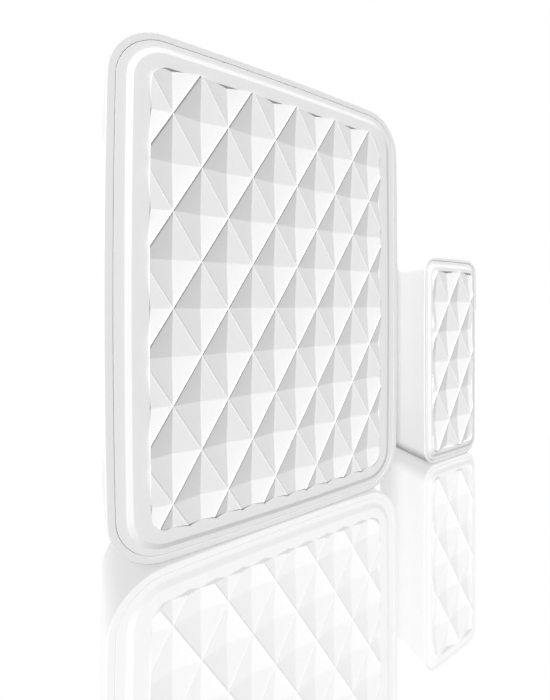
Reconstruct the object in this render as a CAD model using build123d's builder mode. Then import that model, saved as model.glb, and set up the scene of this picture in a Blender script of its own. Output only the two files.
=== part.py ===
from build123d import *
import os
from dataclasses import dataclass
from math import ceil, hypot

# A door and window sensor in two units: a battery sensor unit and a slim magnet unit beside it.
# +Z is up, +X is to the right and the fronts face -Y. The wall is the plane Y = 0, and the origin
# is the middle of the sensor unit's adhesive back. A "height" below is a distance from the wall.
# All sizes are millimetres.

# Moulded section shared by the two units
PAD_PROUD = 0.8
PAD_THICKNESS = 1.2
PAD_RECESS_PLAY = 0.4
FLOOR_THICKNESS = 1.5
SIDE_DRAFT = 0.25
BACK_EDGE_CHAMFER = 0.8
CHANNEL_DEPTH = 0.35
COVER_THICKNESS = 1.1
COVER_GAP = 0.06
TONGUE_DEPTH = 1.9
TONGUE_GAP = 0.25
BARB_PROUD = 0.18
BARB_LENGTH = 6.0
PRY_SLOT_LENGTH = 8.0
PRY_SLOT_HEIGHT = 0.9
PRY_SLOT_DROP = 0.6

# Diamond relief, one scale on both covers
DIAMOND_WIDTH = 7.97
DIAMOND_HEIGHT = 13.2
DIAMOND_LAND = 0.2
RELIEF_DEPTH = 0.62
RELIEF_RISE = 0.42
RELIEF_BACKING = 0.2
RELIEF_OVERLAP = 0.05

# Clearance holes for 3 mm wall screws
WALL_SCREW_RADIUS = 1.7

# Two AAA cells side by side
CELL_RADIUS = 5.25
CELL_LENGTH = 44.5
CELL_NUB_RADIUS = 1.9
CELL_NUB_LENGTH = 0.8
CELL_PITCH = 11.0
BAY_CENTRE_X = -12.7
BAY_HALF_LENGTH = 24.0
CONTACT_THICKNESS = 0.4
CONTACT_DIMPLE = 0.6
CONTACT_GAP = 0.05
CONTACT_DIMPLE_RADIUS = 2.2
END_WALL_THICKNESS = 1.2

# Circuit board beside the cells
BOARD_CENTRE_X = 12.5
BOARD_WIDTH = 22.6
BOARD_LENGTH = 49.0
BOARD_THICKNESS = 1.6
BOARD_UNDERSIDE = 5.2
BOARD_CORNER = 0.8
BOARD_HOLE_RADIUS = 1.1


@dataclass(frozen=True)
class Outline:
    """A rounded rectangle whose sides bulge by bow at their middles."""

    width: float
    height: float
    corner: float
    bow: float

    def inset(self, distance):
        """Return the outline drawn in by distance, or grown where it is negative."""
        return Outline(
            self.width - 2 * distance,
            self.height - 2 * distance,
            self.corner - distance,
            self.bow,
        )


@dataclass(frozen=True)
class Unit:
    """The sizes of one of the two housings, from its widest outline to the relief."""

    centre: tuple
    face: float
    body: Outline
    cover: Outline
    bevel_foot: Outline
    bevel_top: Outline
    relief: Outline
    ledge_width: float
    tongue_thickness: float
    relief_row_offset: float
    relief_parity: int
    pad_size: tuple
    screw_spacing: float

    @property
    def rim(self):
        """The height of the tray's front edge, flush with the channel round the raised plate."""
        return self.face - CHANNEL_DEPTH

    @property
    def crest(self):
        """The height of the ridges between the diamonds."""
        return self.face + RELIEF_RISE

    @property
    def slab_back(self):
        """The height that the relief's slab starts from, behind the diamonds' points."""
        return self.crest - RELIEF_DEPTH - RELIEF_BACKING

    @property
    def ledge(self):
        """The height of the ledge that the cover rests on."""
        return self.rim - COVER_THICKNESS

    @property
    def floor(self):
        """The height of the tray's inner floor."""
        return PAD_PROUD + FLOOR_THICKNESS

    @property
    def well(self):
        """The outline of the hollow below the ledge."""
        return self.cover.inset(self.ledge_width)

    def plane(self, height):
        """Return the plane at this height that is centred on the unit and faces the room."""
        return facing(height, *self.centre)


def facing(height, x=0.0, z=0.0):
    """Return the plane in front of the wall with local x along +X and local y along +Z."""
    return Plane(origin=(x, -height, z), x_dir=(1, 0, 0), z_dir=(0, -1, 0))


class BowedRectangle(BaseSketchObject):
    """The filled sketch of an Outline: four shallow arcs with rounded corners."""

    def __init__(self, outline, mode=Mode.ADD):
        x = outline.width / 2 - outline.bow
        y = outline.height / 2 - outline.bow
        with BuildSketch() as sketch:
            with BuildLine():
                ThreePointArc((-x, -y), (0, -outline.height / 2), (x, -y))
                ThreePointArc((x, -y), (outline.width / 2, 0), (x, y))
                ThreePointArc((x, y), (0, outline.height / 2), (-x, y))
                ThreePointArc((-x, y), (-outline.width / 2, 0), (-x, -y))
            make_face()
            fillet(sketch.vertices(), outline.corner)
        super().__init__(obj=sketch.sketch, rotation=0, align=None, mode=mode)


def add_prism(plane, outline, amount, mode=Mode.ADD):
    """Extrude an outline in the part being built."""
    with BuildSketch(plane) as profile:
        BowedRectangle(outline)
    extrude(profile.sketch, amount=amount, mode=mode)


def add_block(x, z, width, length, low, high, mode=Mode.ADD):
    """Add a block centred at x and z to the part being built, between two heights."""
    with BuildSketch(facing(low)) as profile:
        with Locations((x, z)):
            Rectangle(width, length)
    extrude(profile.sketch, amount=high - low, mode=mode)


def add_disc(x, z, radius, low, high, mode=Mode.ADD):
    """Add a round post centred at x and z to the part being built, between two heights."""
    with BuildSketch(facing(low)) as profile:
        with Locations((x, z)):
            Circle(radius)
    extrude(profile.sketch, amount=high - low, mode=mode)


SENSOR = Unit(
    centre=(0.0, 0.0),
    face=16.0,
    body=Outline(52.7, 72.0, 7.5, 0.5),
    cover=Outline(50.4, 69.8, 6.4, 0.45),
    bevel_foot=Outline(47.8, 68.0, 5.3, 0.35),
    bevel_top=Outline(46.2, 66.4, 4.5, 0.35),
    relief=Outline(41.8, 62.6, 2.6, 0.25),
    ledge_width=0.9,
    tongue_thickness=1.0,
    relief_row_offset=-1.37,
    relief_parity=1,
    pad_size=(40.0, 48.0),
    screw_spacing=59.0,
)

MAGNET = Unit(
    centre=(45.6, -13.15),
    face=14.7,
    body=Outline(19.0, 45.7, 3.4, 0.18),
    cover=Outline(17.7, 44.0, 2.7, 0.16),
    bevel_foot=Outline(16.9, 42.5, 2.2, 0.14),
    bevel_top=Outline(15.6, 41.2, 1.6, 0.14),
    relief=Outline(14.4, 39.6, 1.0, 0.1),
    ledge_width=0.7,
    tongue_thickness=0.8,
    relief_row_offset=-0.3,
    relief_parity=1,
    pad_size=(14.0, 26.0),
    screw_spacing=36.4,
)

# Moulded shells: an open tray on the wall, and a snap-in cover with the diamond relief


def add_tray(unit):
    """Build a unit's open tray: drafted walls, a ledge, a rim round the cover and a pad recess."""
    outlines = {
        PAD_PROUD: unit.body.inset(SIDE_DRAFT + BACK_EDGE_CHAMFER),
        PAD_PROUD + BACK_EDGE_CHAMFER: unit.body.inset(SIDE_DRAFT),
        unit.rim: unit.body,
    }
    sections = []
    for height, outline in outlines.items():
        with BuildSketch(unit.plane(height)) as section:
            BowedRectangle(outline)
        sections.append(section.sketch.face())
    loft(sections, ruled=True)
    add_prism(unit.plane(unit.floor), unit.well, unit.ledge - unit.floor, Mode.SUBTRACT)
    pocket = unit.cover.inset(-COVER_GAP)
    add_prism(unit.plane(unit.ledge), pocket, unit.rim - unit.ledge, Mode.SUBTRACT)
    with BuildSketch(unit.plane(PAD_PROUD)) as recess:
        Rectangle(unit.pad_size[0] + PAD_RECESS_PLAY, unit.pad_size[1] + PAD_RECESS_PLAY)
    extrude(recess.sketch, amount=PAD_THICKNESS - PAD_PROUD, mode=Mode.SUBTRACT)
    with Locations(unit.plane(unit.floor)):
        with Locations((0, unit.screw_spacing / 2), (0, -unit.screw_spacing / 2)):
            Hole(WALL_SCREW_RADIUS)


def add_pry_slot(unit):
    """Cut the slot in the bottom wall where a flat blade reaches under the cover's edge."""
    with BuildSketch(unit.plane(unit.ledge - PRY_SLOT_DROP)) as slot:
        with Locations((0, -unit.cover.height / 2)):
            Rectangle(PRY_SLOT_LENGTH, 2 * (unit.body.height - unit.cover.height))
    extrude(slot.sketch, amount=PRY_SLOT_HEIGHT, mode=Mode.SUBTRACT)


def barb_places(unit):
    """Return the middles of the cover's four barbs, as x and z from the unit's centre."""
    tongue = unit.well.inset(TONGUE_GAP)
    side = tongue.width / 2 - tongue.bow / 4
    return [
        (sign * side, along * unit.well.height / 4)
        for sign in (-1, 1)
        for along in (-1, 1)
    ]


def relief_slab(unit):
    """Build the slab of inverted pyramids that fills a cover's recess and stands above its plate."""
    half_width = DIAMOND_WIDTH / 2
    half_height = DIAMOND_HEIGHT / 2
    columns = ceil(unit.relief.width / 2 / half_width) + 1
    rows = ceil(unit.relief.height / 2 / half_height) + 1
    inradius = half_width * half_height / hypot(half_width, half_height)
    scale = 1 - DIAMOND_LAND / 2 / inradius
    with BuildPart() as pyramids:
        for column in range(-columns, columns + 1):
            for row in range(-rows, rows + 1):
                if (column + row + unit.relief_parity) % 2 == 0:
                    continue
                x = (column + 0.5) * half_width
                z = row * half_height + unit.relief_row_offset
                with BuildSketch(unit.plane(unit.crest)) as diamond:
                    with Locations((x, z)):
                        Polygon(
                            (scale * half_width, 0),
                            (0, scale * half_height),
                            (-scale * half_width, 0),
                            (0, -scale * half_height),
                        )
                point = unit.plane(unit.crest - RELIEF_DEPTH).from_local_coords((x, z, 0))
                loft([diamond.sketch.face(), Vertex(point)])
    with BuildPart() as slab:
        add_prism(unit.plane(unit.slab_back), unit.relief, unit.crest - unit.slab_back)
        add(pyramids.part, mode=Mode.SUBTRACT)
    return slab.part


def add_cover(unit, slab):
    """Build a unit's cover: edge plate, raised bevelled plate, relief and the tongue behind."""
    add_prism(unit.plane(unit.ledge), unit.cover, COVER_THICKNESS)
    with BuildSketch(unit.plane(unit.rim)) as foot:
        BowedRectangle(unit.bevel_foot)
    with BuildSketch(unit.plane(unit.face)) as top:
        BowedRectangle(unit.bevel_top)
    loft([foot.sketch.face(), top.sketch.face()], ruled=True)
    seat = unit.relief.inset(RELIEF_OVERLAP)
    add_prism(unit.plane(unit.slab_back), seat, unit.face - unit.slab_back, Mode.SUBTRACT)
    add(slab)
    tongue = unit.well.inset(TONGUE_GAP)
    with BuildSketch(unit.plane(unit.ledge)) as ring:
        BowedRectangle(tongue)
        BowedRectangle(tongue.inset(unit.tongue_thickness), mode=Mode.SUBTRACT)
    extrude(ring.sketch, amount=-TONGUE_DEPTH)
    with BuildSketch(unit.plane(unit.ledge - TONGUE_DEPTH)) as barbs:
        with Locations(*barb_places(unit)):
            Rectangle(2 * BARB_PROUD, BARB_LENGTH)
    extrude(barbs.sketch, amount=TONGUE_DEPTH / 2)


# Sensor unit: tray with battery bay and board posts

CELL_HEIGHT = SENSOR.floor + 0.2 + CELL_RADIUS
CELL_X = [BAY_CENTRE_X - CELL_PITCH / 2, BAY_CENTRE_X + CELL_PITCH / 2]
BAY_WIDTH = 2 * CELL_PITCH + 0.6
END_WALL_Z = BAY_HALF_LENGTH + CONTACT_THICKNESS + 0.2 + END_WALL_THICKNESS / 2
END_WALL_TOP = 11.0
SADDLE_TOP = 5.4
SADDLE_THICKNESS = 1.5
SADDLE_Z = 13.0
DIVIDER_X = -1.0
DIVIDER_TOP = 8.0
BOARD_TOP = BOARD_UNDERSIDE + BOARD_THICKNESS
POST_RADIUS = 2.2
PILOT_RADIUS = 0.85
BOARD_SCREW_PLACES = [(3.6, 22.0), (12.5, -22.0)]
BOARD_REST_PLACES = [(21.2, 22.0), (21.2, -22.0), (3.6, -22.0)]
BOARD_REST_WIDTH = 4.0
BOARD_REST_LENGTH = 1.4

with BuildPart() as back_housing:
    add_tray(SENSOR)
    for end in (-1, 1):
        add_block(
            BAY_CENTRE_X,
            end * END_WALL_Z,
            BAY_WIDTH,
            END_WALL_THICKNESS,
            SENSOR.floor,
            END_WALL_TOP,
        )
        add_block(
            BAY_CENTRE_X,
            end * SADDLE_Z,
            BAY_WIDTH,
            SADDLE_THICKNESS,
            SENSOR.floor,
            SADDLE_TOP,
        )
    add_block(DIVIDER_X, 0, 1.0, 2 * BAY_HALF_LENGTH, SENSOR.floor, DIVIDER_TOP)
    with BuildSketch(Plane.XY.offset(-BAY_HALF_LENGTH)):
        for x in CELL_X:
            with Locations((x, -CELL_HEIGHT)):
                Circle(CELL_RADIUS + 0.1)
    extrude(amount=2 * BAY_HALF_LENGTH, mode=Mode.SUBTRACT)
    for x, z in BOARD_SCREW_PLACES:
        add_disc(x, z, POST_RADIUS, SENSOR.floor, BOARD_UNDERSIDE)
        add_disc(x, z, PILOT_RADIUS, SENSOR.floor, BOARD_UNDERSIDE, Mode.SUBTRACT)
    for x, z in BOARD_REST_PLACES:
        add_block(x, z, BOARD_REST_WIDTH, BOARD_REST_LENGTH, SENSOR.floor, BOARD_UNDERSIDE)
    add_pry_slot(SENSOR)
back_housing.part.label = "back_housing"

# Sensor unit: cover, with the post that holds the tamper switch pressed

TAMPER_PLACE = (11.0, 20.0)
TAMPER_PRESSED_TOP = 11.0
TAMPER_POST_SIDE = 2.4
TAMPER_POST_GAP = 0.05
COVER_RIB_WIDTH = 0.9
COVER_RIB_DEPTH = 0.7

sensor_slab = relief_slab(SENSOR)

with BuildPart() as front_cover:
    add_cover(SENSOR, sensor_slab)
    post_end = TAMPER_PRESSED_TOP + TAMPER_POST_GAP
    add_block(*TAMPER_PLACE, TAMPER_POST_SIDE, TAMPER_POST_SIDE, post_end, SENSOR.ledge)
    rib_span = SENSOR.well.inset(TONGUE_GAP + SENSOR.tongue_thickness / 2)
    for z in (-28.0, 28.0):
        add_block(
            0,
            z,
            rib_span.width - 2 * rib_span.bow,
            COVER_RIB_WIDTH,
            SENSOR.ledge - COVER_RIB_DEPTH,
            SENSOR.ledge,
        )
    add_block(
        BOARD_CENTRE_X,
        0,
        COVER_RIB_WIDTH,
        rib_span.height - 2 * rib_span.bow,
        SENSOR.ledge - COVER_RIB_DEPTH,
        SENSOR.ledge,
    )
front_cover.part.label = "front_cover"

# Adhesive pads, one in the recess of each back


def add_pad(unit):
    """Build the foam pad that stands proud of a unit's back."""
    with BuildSketch(unit.plane(0)) as pad:
        RectangleRounded(*unit.pad_size, 2.0)
    extrude(pad.sketch, amount=PAD_THICKNESS)


with BuildPart() as sensor_adhesive_pad:
    add_pad(SENSOR)
sensor_adhesive_pad.part.label = "sensor_adhesive_pad"

with BuildPart() as magnet_adhesive_pad:
    add_pad(MAGNET)
magnet_adhesive_pad.part.label = "magnet_adhesive_pad"

# Circuit board and its two screws

SCREW_HEAD_RADIUS = 1.8
SCREW_HEAD_HEIGHT = 1.3
SCREW_SHANK_RADIUS = PILOT_RADIUS
SCREW_LENGTH = 4.0

with BuildPart() as main_board:
    with BuildSketch(facing(BOARD_UNDERSIDE)):
        with Locations((BOARD_CENTRE_X, 0)):
            Rectangle(BOARD_WIDTH, BOARD_LENGTH)
        with Locations(*BOARD_SCREW_PLACES):
            Circle(BOARD_HOLE_RADIUS, mode=Mode.SUBTRACT)
    extrude(amount=BOARD_THICKNESS)
    chamfer(main_board.edges().filter_by(Axis.Y).group_by(SortBy.LENGTH)[-1], BOARD_CORNER)
main_board.part.label = "main_board"

with BuildPart() as board_screws:
    for x, z in BOARD_SCREW_PLACES:
        add_disc(x, z, SCREW_SHANK_RADIUS, BOARD_TOP - SCREW_LENGTH, BOARD_TOP)
        add_disc(x, z, SCREW_HEAD_RADIUS, BOARD_TOP, BOARD_TOP + SCREW_HEAD_HEIGHT)
board_screws.part.label = "board_screws"

# Reed switch at the magnet's height, by the wall that faces the magnet

REED_X = 21.4
REED_Z = MAGNET.centre[1]
REED_HEIGHT = BOARD_TOP + 1.6
REED_GLASS_RADIUS = 1.0
REED_GLASS_LENGTH = 13.0
REED_LEAD_RADIUS = 0.28
REED_LEAD_SPAN = 8.2

with BuildPart() as reed_glass:
    with BuildSketch(Plane(origin=(REED_X, -REED_HEIGHT, REED_Z))) as bore:
        Circle(REED_GLASS_RADIUS)
    extrude(bore.sketch, amount=REED_GLASS_LENGTH / 2, both=True)
reed_glass.part.label = "reed_glass"

with BuildPart() as reed_leads:
    for end in (-1, 1):
        glass_end = REED_Z + end * (REED_GLASS_LENGTH / 2)
        bend = REED_Z + end * REED_LEAD_SPAN
        with BuildLine() as lead:
            FilletPolyline(
                (REED_X, -REED_HEIGHT, glass_end),
                (REED_X, -REED_HEIGHT, bend),
                (REED_X, -BOARD_TOP, bend),
                radius=0.6,
            )
        with BuildSketch(Plane(lead.line @ 0, z_dir=lead.line % 0)):
            Rectangle(2 * REED_LEAD_RADIUS, 2 * REED_LEAD_RADIUS)
        sweep()
reed_leads.part.label = "reed_leads"

# Radio module with its shield can and printed aerial

RADIO_X = 11.0
RADIO_Z = 4.0
RADIO_WIDTH = 16.0
RADIO_LENGTH = 22.0
RADIO_BOARD_THICKNESS = 0.8
RADIO_TOP = BOARD_TOP + RADIO_BOARD_THICKNESS
PAD_NOTCH = 0.7
PAD_NOTCH_PITCH = 2.0
PAD_NOTCHES = 6
SHIELD_WIDTH = 12.6
SHIELD_LENGTH = 13.0
SHIELD_HEIGHT = 1.9
AERIAL_LINE = 0.6
AERIAL_THICKNESS = 0.1
AERIAL_FOLDS = 5
AERIAL_FOLD_DEPTH = 3.4

with BuildPart() as radio_module_board:
    with BuildSketch(facing(BOARD_TOP, RADIO_X, RADIO_Z)):
        Rectangle(RADIO_WIDTH, RADIO_LENGTH)
        with Locations((0, -3.0)):
            with GridLocations(RADIO_WIDTH, PAD_NOTCH_PITCH, 2, PAD_NOTCHES):
                Rectangle(PAD_NOTCH, PAD_NOTCH, mode=Mode.SUBTRACT)
    extrude(amount=RADIO_BOARD_THICKNESS)
radio_module_board.part.label = "radio_module_board"

with BuildPart() as radio_shield:
    with BuildSketch(facing(RADIO_TOP, RADIO_X, RADIO_Z - 3.2)):
        Rectangle(SHIELD_WIDTH, SHIELD_LENGTH)
    extrude(amount=SHIELD_HEIGHT)
    chamfer(radio_shield.faces().sort_by(Axis.Y)[0].edges(), 0.25)
radio_shield.part.label = "radio_shield"

with BuildPart() as printed_antenna:
    fold_pitch = 2 * AERIAL_LINE + 0.6
    left = -fold_pitch * (AERIAL_FOLDS - 1) / 2
    with BuildSketch(facing(RADIO_TOP, RADIO_X, RADIO_Z + 7.6)):
        for fold in range(AERIAL_FOLDS):
            with Locations((left + fold * fold_pitch, 0)):
                Rectangle(AERIAL_LINE, AERIAL_FOLD_DEPTH)
        for fold in range(AERIAL_FOLDS - 1):
            side = 1 if fold % 2 == 0 else -1
            middle = left + (fold + 0.5) * fold_pitch
            with Locations((middle, side * (AERIAL_FOLD_DEPTH - AERIAL_LINE) / 2)):
                Rectangle(fold_pitch, AERIAL_LINE)
    extrude(amount=AERIAL_THICKNESS)
printed_antenna.part.label = "printed_antenna"

# Small parts on the board

with BuildPart() as controller_chip:
    add_block(14.5, -12.6, 5.0, 5.0, BOARD_TOP, BOARD_TOP + 0.9)
controller_chip.part.label = "controller_chip"

with BuildPart() as crystal_can:
    add_block(15.6, -17.6, 3.2, 1.5, BOARD_TOP, BOARD_TOP + 0.5)
    add_block(15.6, -17.6, 2.8, 1.1, BOARD_TOP + 0.5, BOARD_TOP + 0.8)
crystal_can.part.label = "crystal_can"

CAPACITOR_X = 4.9
CAPACITOR_Z = -10.0

with BuildPart() as reservoir_capacitor:
    with BuildSketch(facing(BOARD_TOP, CAPACITOR_X, CAPACITOR_Z)):
        Rectangle(5.0, 5.0)
    extrude(amount=0.6)
    chamfer(reservoir_capacitor.edges().filter_by(Axis.Y).group_by(Axis.X)[-1], 0.8)
    add_disc(CAPACITOR_X, CAPACITOR_Z, 2.3, BOARD_TOP + 0.6, BOARD_TOP + 5.0)
reservoir_capacitor.part.label = "reservoir_capacitor"

CHIP_PLACES = [(10.4, -10.0), (10.4, -11.6), (18.6, -11.0), (18.6, -14.2), (6.0, 18.6), (16.6, 18.6)]

with BuildPart() as chip_components:
    for x, z in CHIP_PLACES:
        add_block(x, z, 1.6, 0.8, BOARD_TOP, BOARD_TOP + 0.5)
chip_components.part.label = "chip_components"

with BuildPart() as status_led:
    add_block(21.3, 8.0, 1.4, 2.6, BOARD_TOP, BOARD_TOP + 0.3)
    with BuildSketch(facing(BOARD_TOP + 0.3, 21.3, 8.0)):
        Rectangle(1.4, 1.6)
    extrude(amount=0.6, taper=8)
status_led.part.label = "status_led"

# Push switches: one for pairing, one that the cover holds pressed

SWITCH_SIDE = 6.0
SWITCH_BODY_HEIGHT = 3.5
SWITCH_WELL_DEPTH = 1.6
BUTTON_RADIUS = 1.7
BUTTON_GAP = 0.12
PAIR_PLACE = (7.5, -16.0)
PAIR_BUTTON_TOP = 11.6


def add_switch_body(x, z):
    """Build a square switch body with the well that its button slides in."""
    top = BOARD_TOP + SWITCH_BODY_HEIGHT
    add_block(x, z, SWITCH_SIDE, SWITCH_SIDE, BOARD_TOP, top)
    add_disc(x, z, BUTTON_RADIUS + BUTTON_GAP, top - SWITCH_WELL_DEPTH, top, Mode.SUBTRACT)


def add_button(x, z, top):
    """Build the round button of a switch, standing clear of its well's floor."""
    well_floor = BOARD_TOP + SWITCH_BODY_HEIGHT - SWITCH_WELL_DEPTH
    add_disc(x, z, BUTTON_RADIUS, well_floor + 0.4, top)


with BuildPart() as pair_switch_body:
    add_switch_body(*PAIR_PLACE)
pair_switch_body.part.label = "pair_switch_body"

with BuildPart() as pair_button:
    add_button(*PAIR_PLACE, PAIR_BUTTON_TOP)
pair_button.part.label = "pair_button"

with BuildPart() as tamper_switch_body:
    add_switch_body(*TAMPER_PLACE)
tamper_switch_body.part.label = "tamper_switch_body"

with BuildPart() as tamper_plunger:
    add_button(*TAMPER_PLACE, TAMPER_PRESSED_TOP)
tamper_plunger.part.label = "tamper_plunger"

# Cells: the left one has its nub up, the right one has it down


def add_cell(x, up):
    """Build one cell, with its nub end just short of the contact's dimple."""
    nub_end = up * (BAY_HALF_LENGTH - CONTACT_DIMPLE - CONTACT_GAP)
    base = Plane(origin=(x, -CELL_HEIGHT, nub_end - up * CELL_LENGTH), z_dir=(0, 0, up))
    for radius, length in ((CELL_RADIUS, CELL_LENGTH - CELL_NUB_LENGTH), (CELL_NUB_RADIUS, CELL_LENGTH)):
        with BuildSketch(base) as section:
            Circle(radius)
        extrude(section.sketch, amount=length)


with BuildPart() as battery_cell_left:
    add_cell(CELL_X[0], 1)
battery_cell_left.part.label = "battery_cell_left"

with BuildPart() as battery_cell_right:
    add_cell(CELL_X[1], -1)
battery_cell_right.part.label = "battery_cell_right"

# Battery contacts: sprung at each cell's flat end, dimpled at its nub end

CONTACT_LOW = 3.6
CONTACT_WIDTH = 8.6
CONTACT_FOLD = 0.3
LEAF_WIDTH = 4.6
LEAF_FOOT = 3.0
LEAF_TIP = 3.4
LEAF_THICKNESS = 0.3


def add_contact_plate(x, end, width):
    """Build the upright plate against an end wall, with a lip folded over the wall's top."""
    plate_z = end * (BAY_HALF_LENGTH + CONTACT_THICKNESS / 2)
    add_block(x, plate_z, width, CONTACT_THICKNESS, CONTACT_LOW, END_WALL_TOP + CONTACT_FOLD)
    lip_length = END_WALL_THICKNESS + CONTACT_THICKNESS + 0.2
    lip_z = end * (BAY_HALF_LENGTH + lip_length / 2)
    top = END_WALL_TOP + CONTACT_FOLD
    add_block(x, lip_z, width, lip_length, top - CONTACT_FOLD, top)


def add_dimple(x, end):
    """Build the raised disc that a cell's nub rests against."""
    seat = Plane(origin=(x, -CELL_HEIGHT, end * BAY_HALF_LENGTH), z_dir=(0, 0, -end))
    with BuildSketch(seat) as disc:
        Circle(CONTACT_DIMPLE_RADIUS)
    extrude(disc.sketch, amount=CONTACT_DIMPLE)


def add_leaf(x, end):
    """Build the bowed leaf spring that presses a cell's flat end, folded out of the plate's foot."""
    reach = 2 * BAY_HALF_LENGTH - CELL_LENGTH - CONTACT_DIMPLE - 2 * CONTACT_GAP
    seat = Plane(
        origin=(x, -CELL_HEIGHT, end * BAY_HALF_LENGTH), x_dir=(0, -1, 0), z_dir=(-1, 0, 0)
    )
    crown = -end * reach
    with BuildSketch(seat) as profile:
        with BuildLine():
            ThreePointArc((-LEAF_FOOT, 0), (0, crown), (LEAF_TIP, crown / 2))
            Line((LEAF_TIP, crown / 2), (LEAF_TIP, crown / 2 + end * LEAF_THICKNESS))
            ThreePointArc(
                (LEAF_TIP, crown / 2 + end * LEAF_THICKNESS),
                (0, crown + end * LEAF_THICKNESS),
                (-LEAF_FOOT + LEAF_THICKNESS, 0),
            )
            Line((-LEAF_FOOT + LEAF_THICKNESS, 0), (-LEAF_FOOT, 0))
        make_face()
    extrude(profile.sketch, amount=LEAF_WIDTH / 2, both=True)


with BuildPart() as battery_bridge_contact:
    add_contact_plate(BAY_CENTRE_X, 1, CELL_PITCH + CONTACT_WIDTH)
    add_dimple(CELL_X[0], 1)
    add_leaf(CELL_X[1], 1)
battery_bridge_contact.part.label = "battery_bridge_contact"

with BuildPart() as negative_spring_contact:
    add_contact_plate(CELL_X[0], -1, CONTACT_WIDTH)
    add_leaf(CELL_X[0], -1)
negative_spring_contact.part.label = "negative_spring_contact"

with BuildPart() as positive_contact:
    add_contact_plate(CELL_X[1], -1, CONTACT_WIDTH)
    add_dimple(CELL_X[1], -1)
positive_contact.part.label = "positive_contact"

# Magnet unit: tray with a cradle, bar magnet and cover

BAR_WIDTH = 8.0
BAR_LENGTH = 29.0
BAR_THICKNESS = 5.0
BAR_OFFSET_X = -2.0
CRADLE_WALL = 0.8
CRADLE_TOP = 5.5
CRADLE_GAP = 0.08

with BuildPart() as magnet_base:
    add_tray(MAGNET)
    bar_x = MAGNET.centre[0] + BAR_OFFSET_X
    for side in (-1, 1):
        for end in (-1, 1):
            wall_x = bar_x + side * (BAR_WIDTH / 2 + CRADLE_GAP + CRADLE_WALL / 2)
            wall_z = MAGNET.centre[1] + end * BAR_LENGTH / 3
            add_block(wall_x, wall_z, CRADLE_WALL, 5.0, MAGNET.floor, CRADLE_TOP)
    add_pry_slot(MAGNET)
magnet_base.part.label = "magnet_base"

with BuildPart() as bar_magnet:
    with BuildSketch(facing(MAGNET.floor, bar_x, MAGNET.centre[1])):
        Rectangle(BAR_WIDTH, BAR_LENGTH)
    extrude(amount=BAR_THICKNESS)
    chamfer(bar_magnet.edges(), 0.3)
bar_magnet.part.label = "bar_magnet"

magnet_slab = relief_slab(MAGNET)

with BuildPart() as magnet_cover:
    add_cover(MAGNET, magnet_slab)
magnet_cover.part.label = "magnet_cover"

# Written pieces

PIECES = [
    back_housing,
    front_cover,
    sensor_adhesive_pad,
    main_board,
    board_screws,
    reed_glass,
    reed_leads,
    radio_module_board,
    radio_shield,
    printed_antenna,
    controller_chip,
    crystal_can,
    reservoir_capacitor,
    chip_components,
    status_led,
    pair_switch_body,
    pair_button,
    tamper_switch_body,
    tamper_plunger,
    battery_cell_left,
    battery_cell_right,
    battery_bridge_contact,
    negative_spring_contact,
    positive_contact,
    magnet_base,
    magnet_cover,
    bar_magnet,
    magnet_adhesive_pad,
]

os.makedirs("parts", exist_ok=True)
for piece in PIECES:
    export_step(piece.part, f"parts/{piece.part.label}.step")
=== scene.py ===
"""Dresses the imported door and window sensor: two white moulded units with a diamond relief."""

import logging
import math
from collections.abc import Iterable, Sequence
from dataclasses import astuple, dataclass, field, replace
from enum import Enum
from functools import cache
from itertools import product

import bmesh
import bpy
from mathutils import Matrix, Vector


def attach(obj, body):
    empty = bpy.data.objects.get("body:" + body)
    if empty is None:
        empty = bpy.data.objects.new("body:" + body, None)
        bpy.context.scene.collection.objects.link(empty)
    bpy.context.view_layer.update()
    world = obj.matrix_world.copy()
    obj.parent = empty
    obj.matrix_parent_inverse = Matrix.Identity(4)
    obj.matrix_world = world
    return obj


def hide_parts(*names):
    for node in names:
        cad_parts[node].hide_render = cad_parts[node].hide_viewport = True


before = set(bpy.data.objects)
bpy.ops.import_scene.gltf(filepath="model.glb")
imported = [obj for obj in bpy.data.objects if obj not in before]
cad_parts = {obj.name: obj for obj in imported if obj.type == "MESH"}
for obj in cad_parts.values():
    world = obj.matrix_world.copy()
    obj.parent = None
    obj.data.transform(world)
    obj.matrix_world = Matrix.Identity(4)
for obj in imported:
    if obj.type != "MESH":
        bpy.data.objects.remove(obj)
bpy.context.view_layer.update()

MM = 0.001
# The attribute that marks the relief's faces between the pits.
CREST = "crest"
SENSOR_BASE = "sensor_base"
# Heights and places that several classes share, in millimetres.
TRAY_FLOOR = 2.3
# How far a wall reaches into the floor or the plate that it stands on, so that no gap shows.
ROOT = 0.2
BOARD_TOP = 6.8
SCREW_PLACES = ((3.6, 22.0), (12.5, -22.0))
CELL_X = (-18.2, -7.2)
CELL_HEIGHT = 7.75
LEAST_CORNER = 0.05
MIDDLE = (0.0, 0.0, 0.0)
UPRIGHT = (math.pi / 2, 0.0, 0.0)
# Tolerances in millimetres, from the finest on, and angles in degrees.
BISECT_MM = 0.0004
MERGE_MM = 0.0005
TRIM_MERGE_MM = 0.001
SHEET_MERGE_MM = 0.002
FLAT_DEG = 1.0
CREASE_DEG = 7.0
SHARP_DEG = 35.0
EDGE_STEPS = 3
CREST_NORMAL = -0.9
log = logging.getLogger("sensor")

Pair = tuple[float, float]
Point = tuple[float, float, float]
Ring = list[Point]
Profile = tuple[Pair, ...]
Colour = tuple[float, float, float, float]


def linear_colour(code: str, share: float = 1.0) -> Colour:
    """Turn an sRGB hex colour into linear red, green, blue and alpha.

    Args:
        code: The colour as "#RRGGBB".
        share: What the three linear colours are multiplied by.

    Returns:
        The four linear channels.
    """
    channels = [int(code[i : i + 2], 16) / 255 for i in (1, 3, 5)]
    red, green, blue = (c / 12.92 if c <= 0.04045 else ((c + 0.055) / 1.055) ** 2.4 for c in channels)
    return (red * share, green * share, blue * share, 1.0)


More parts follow.
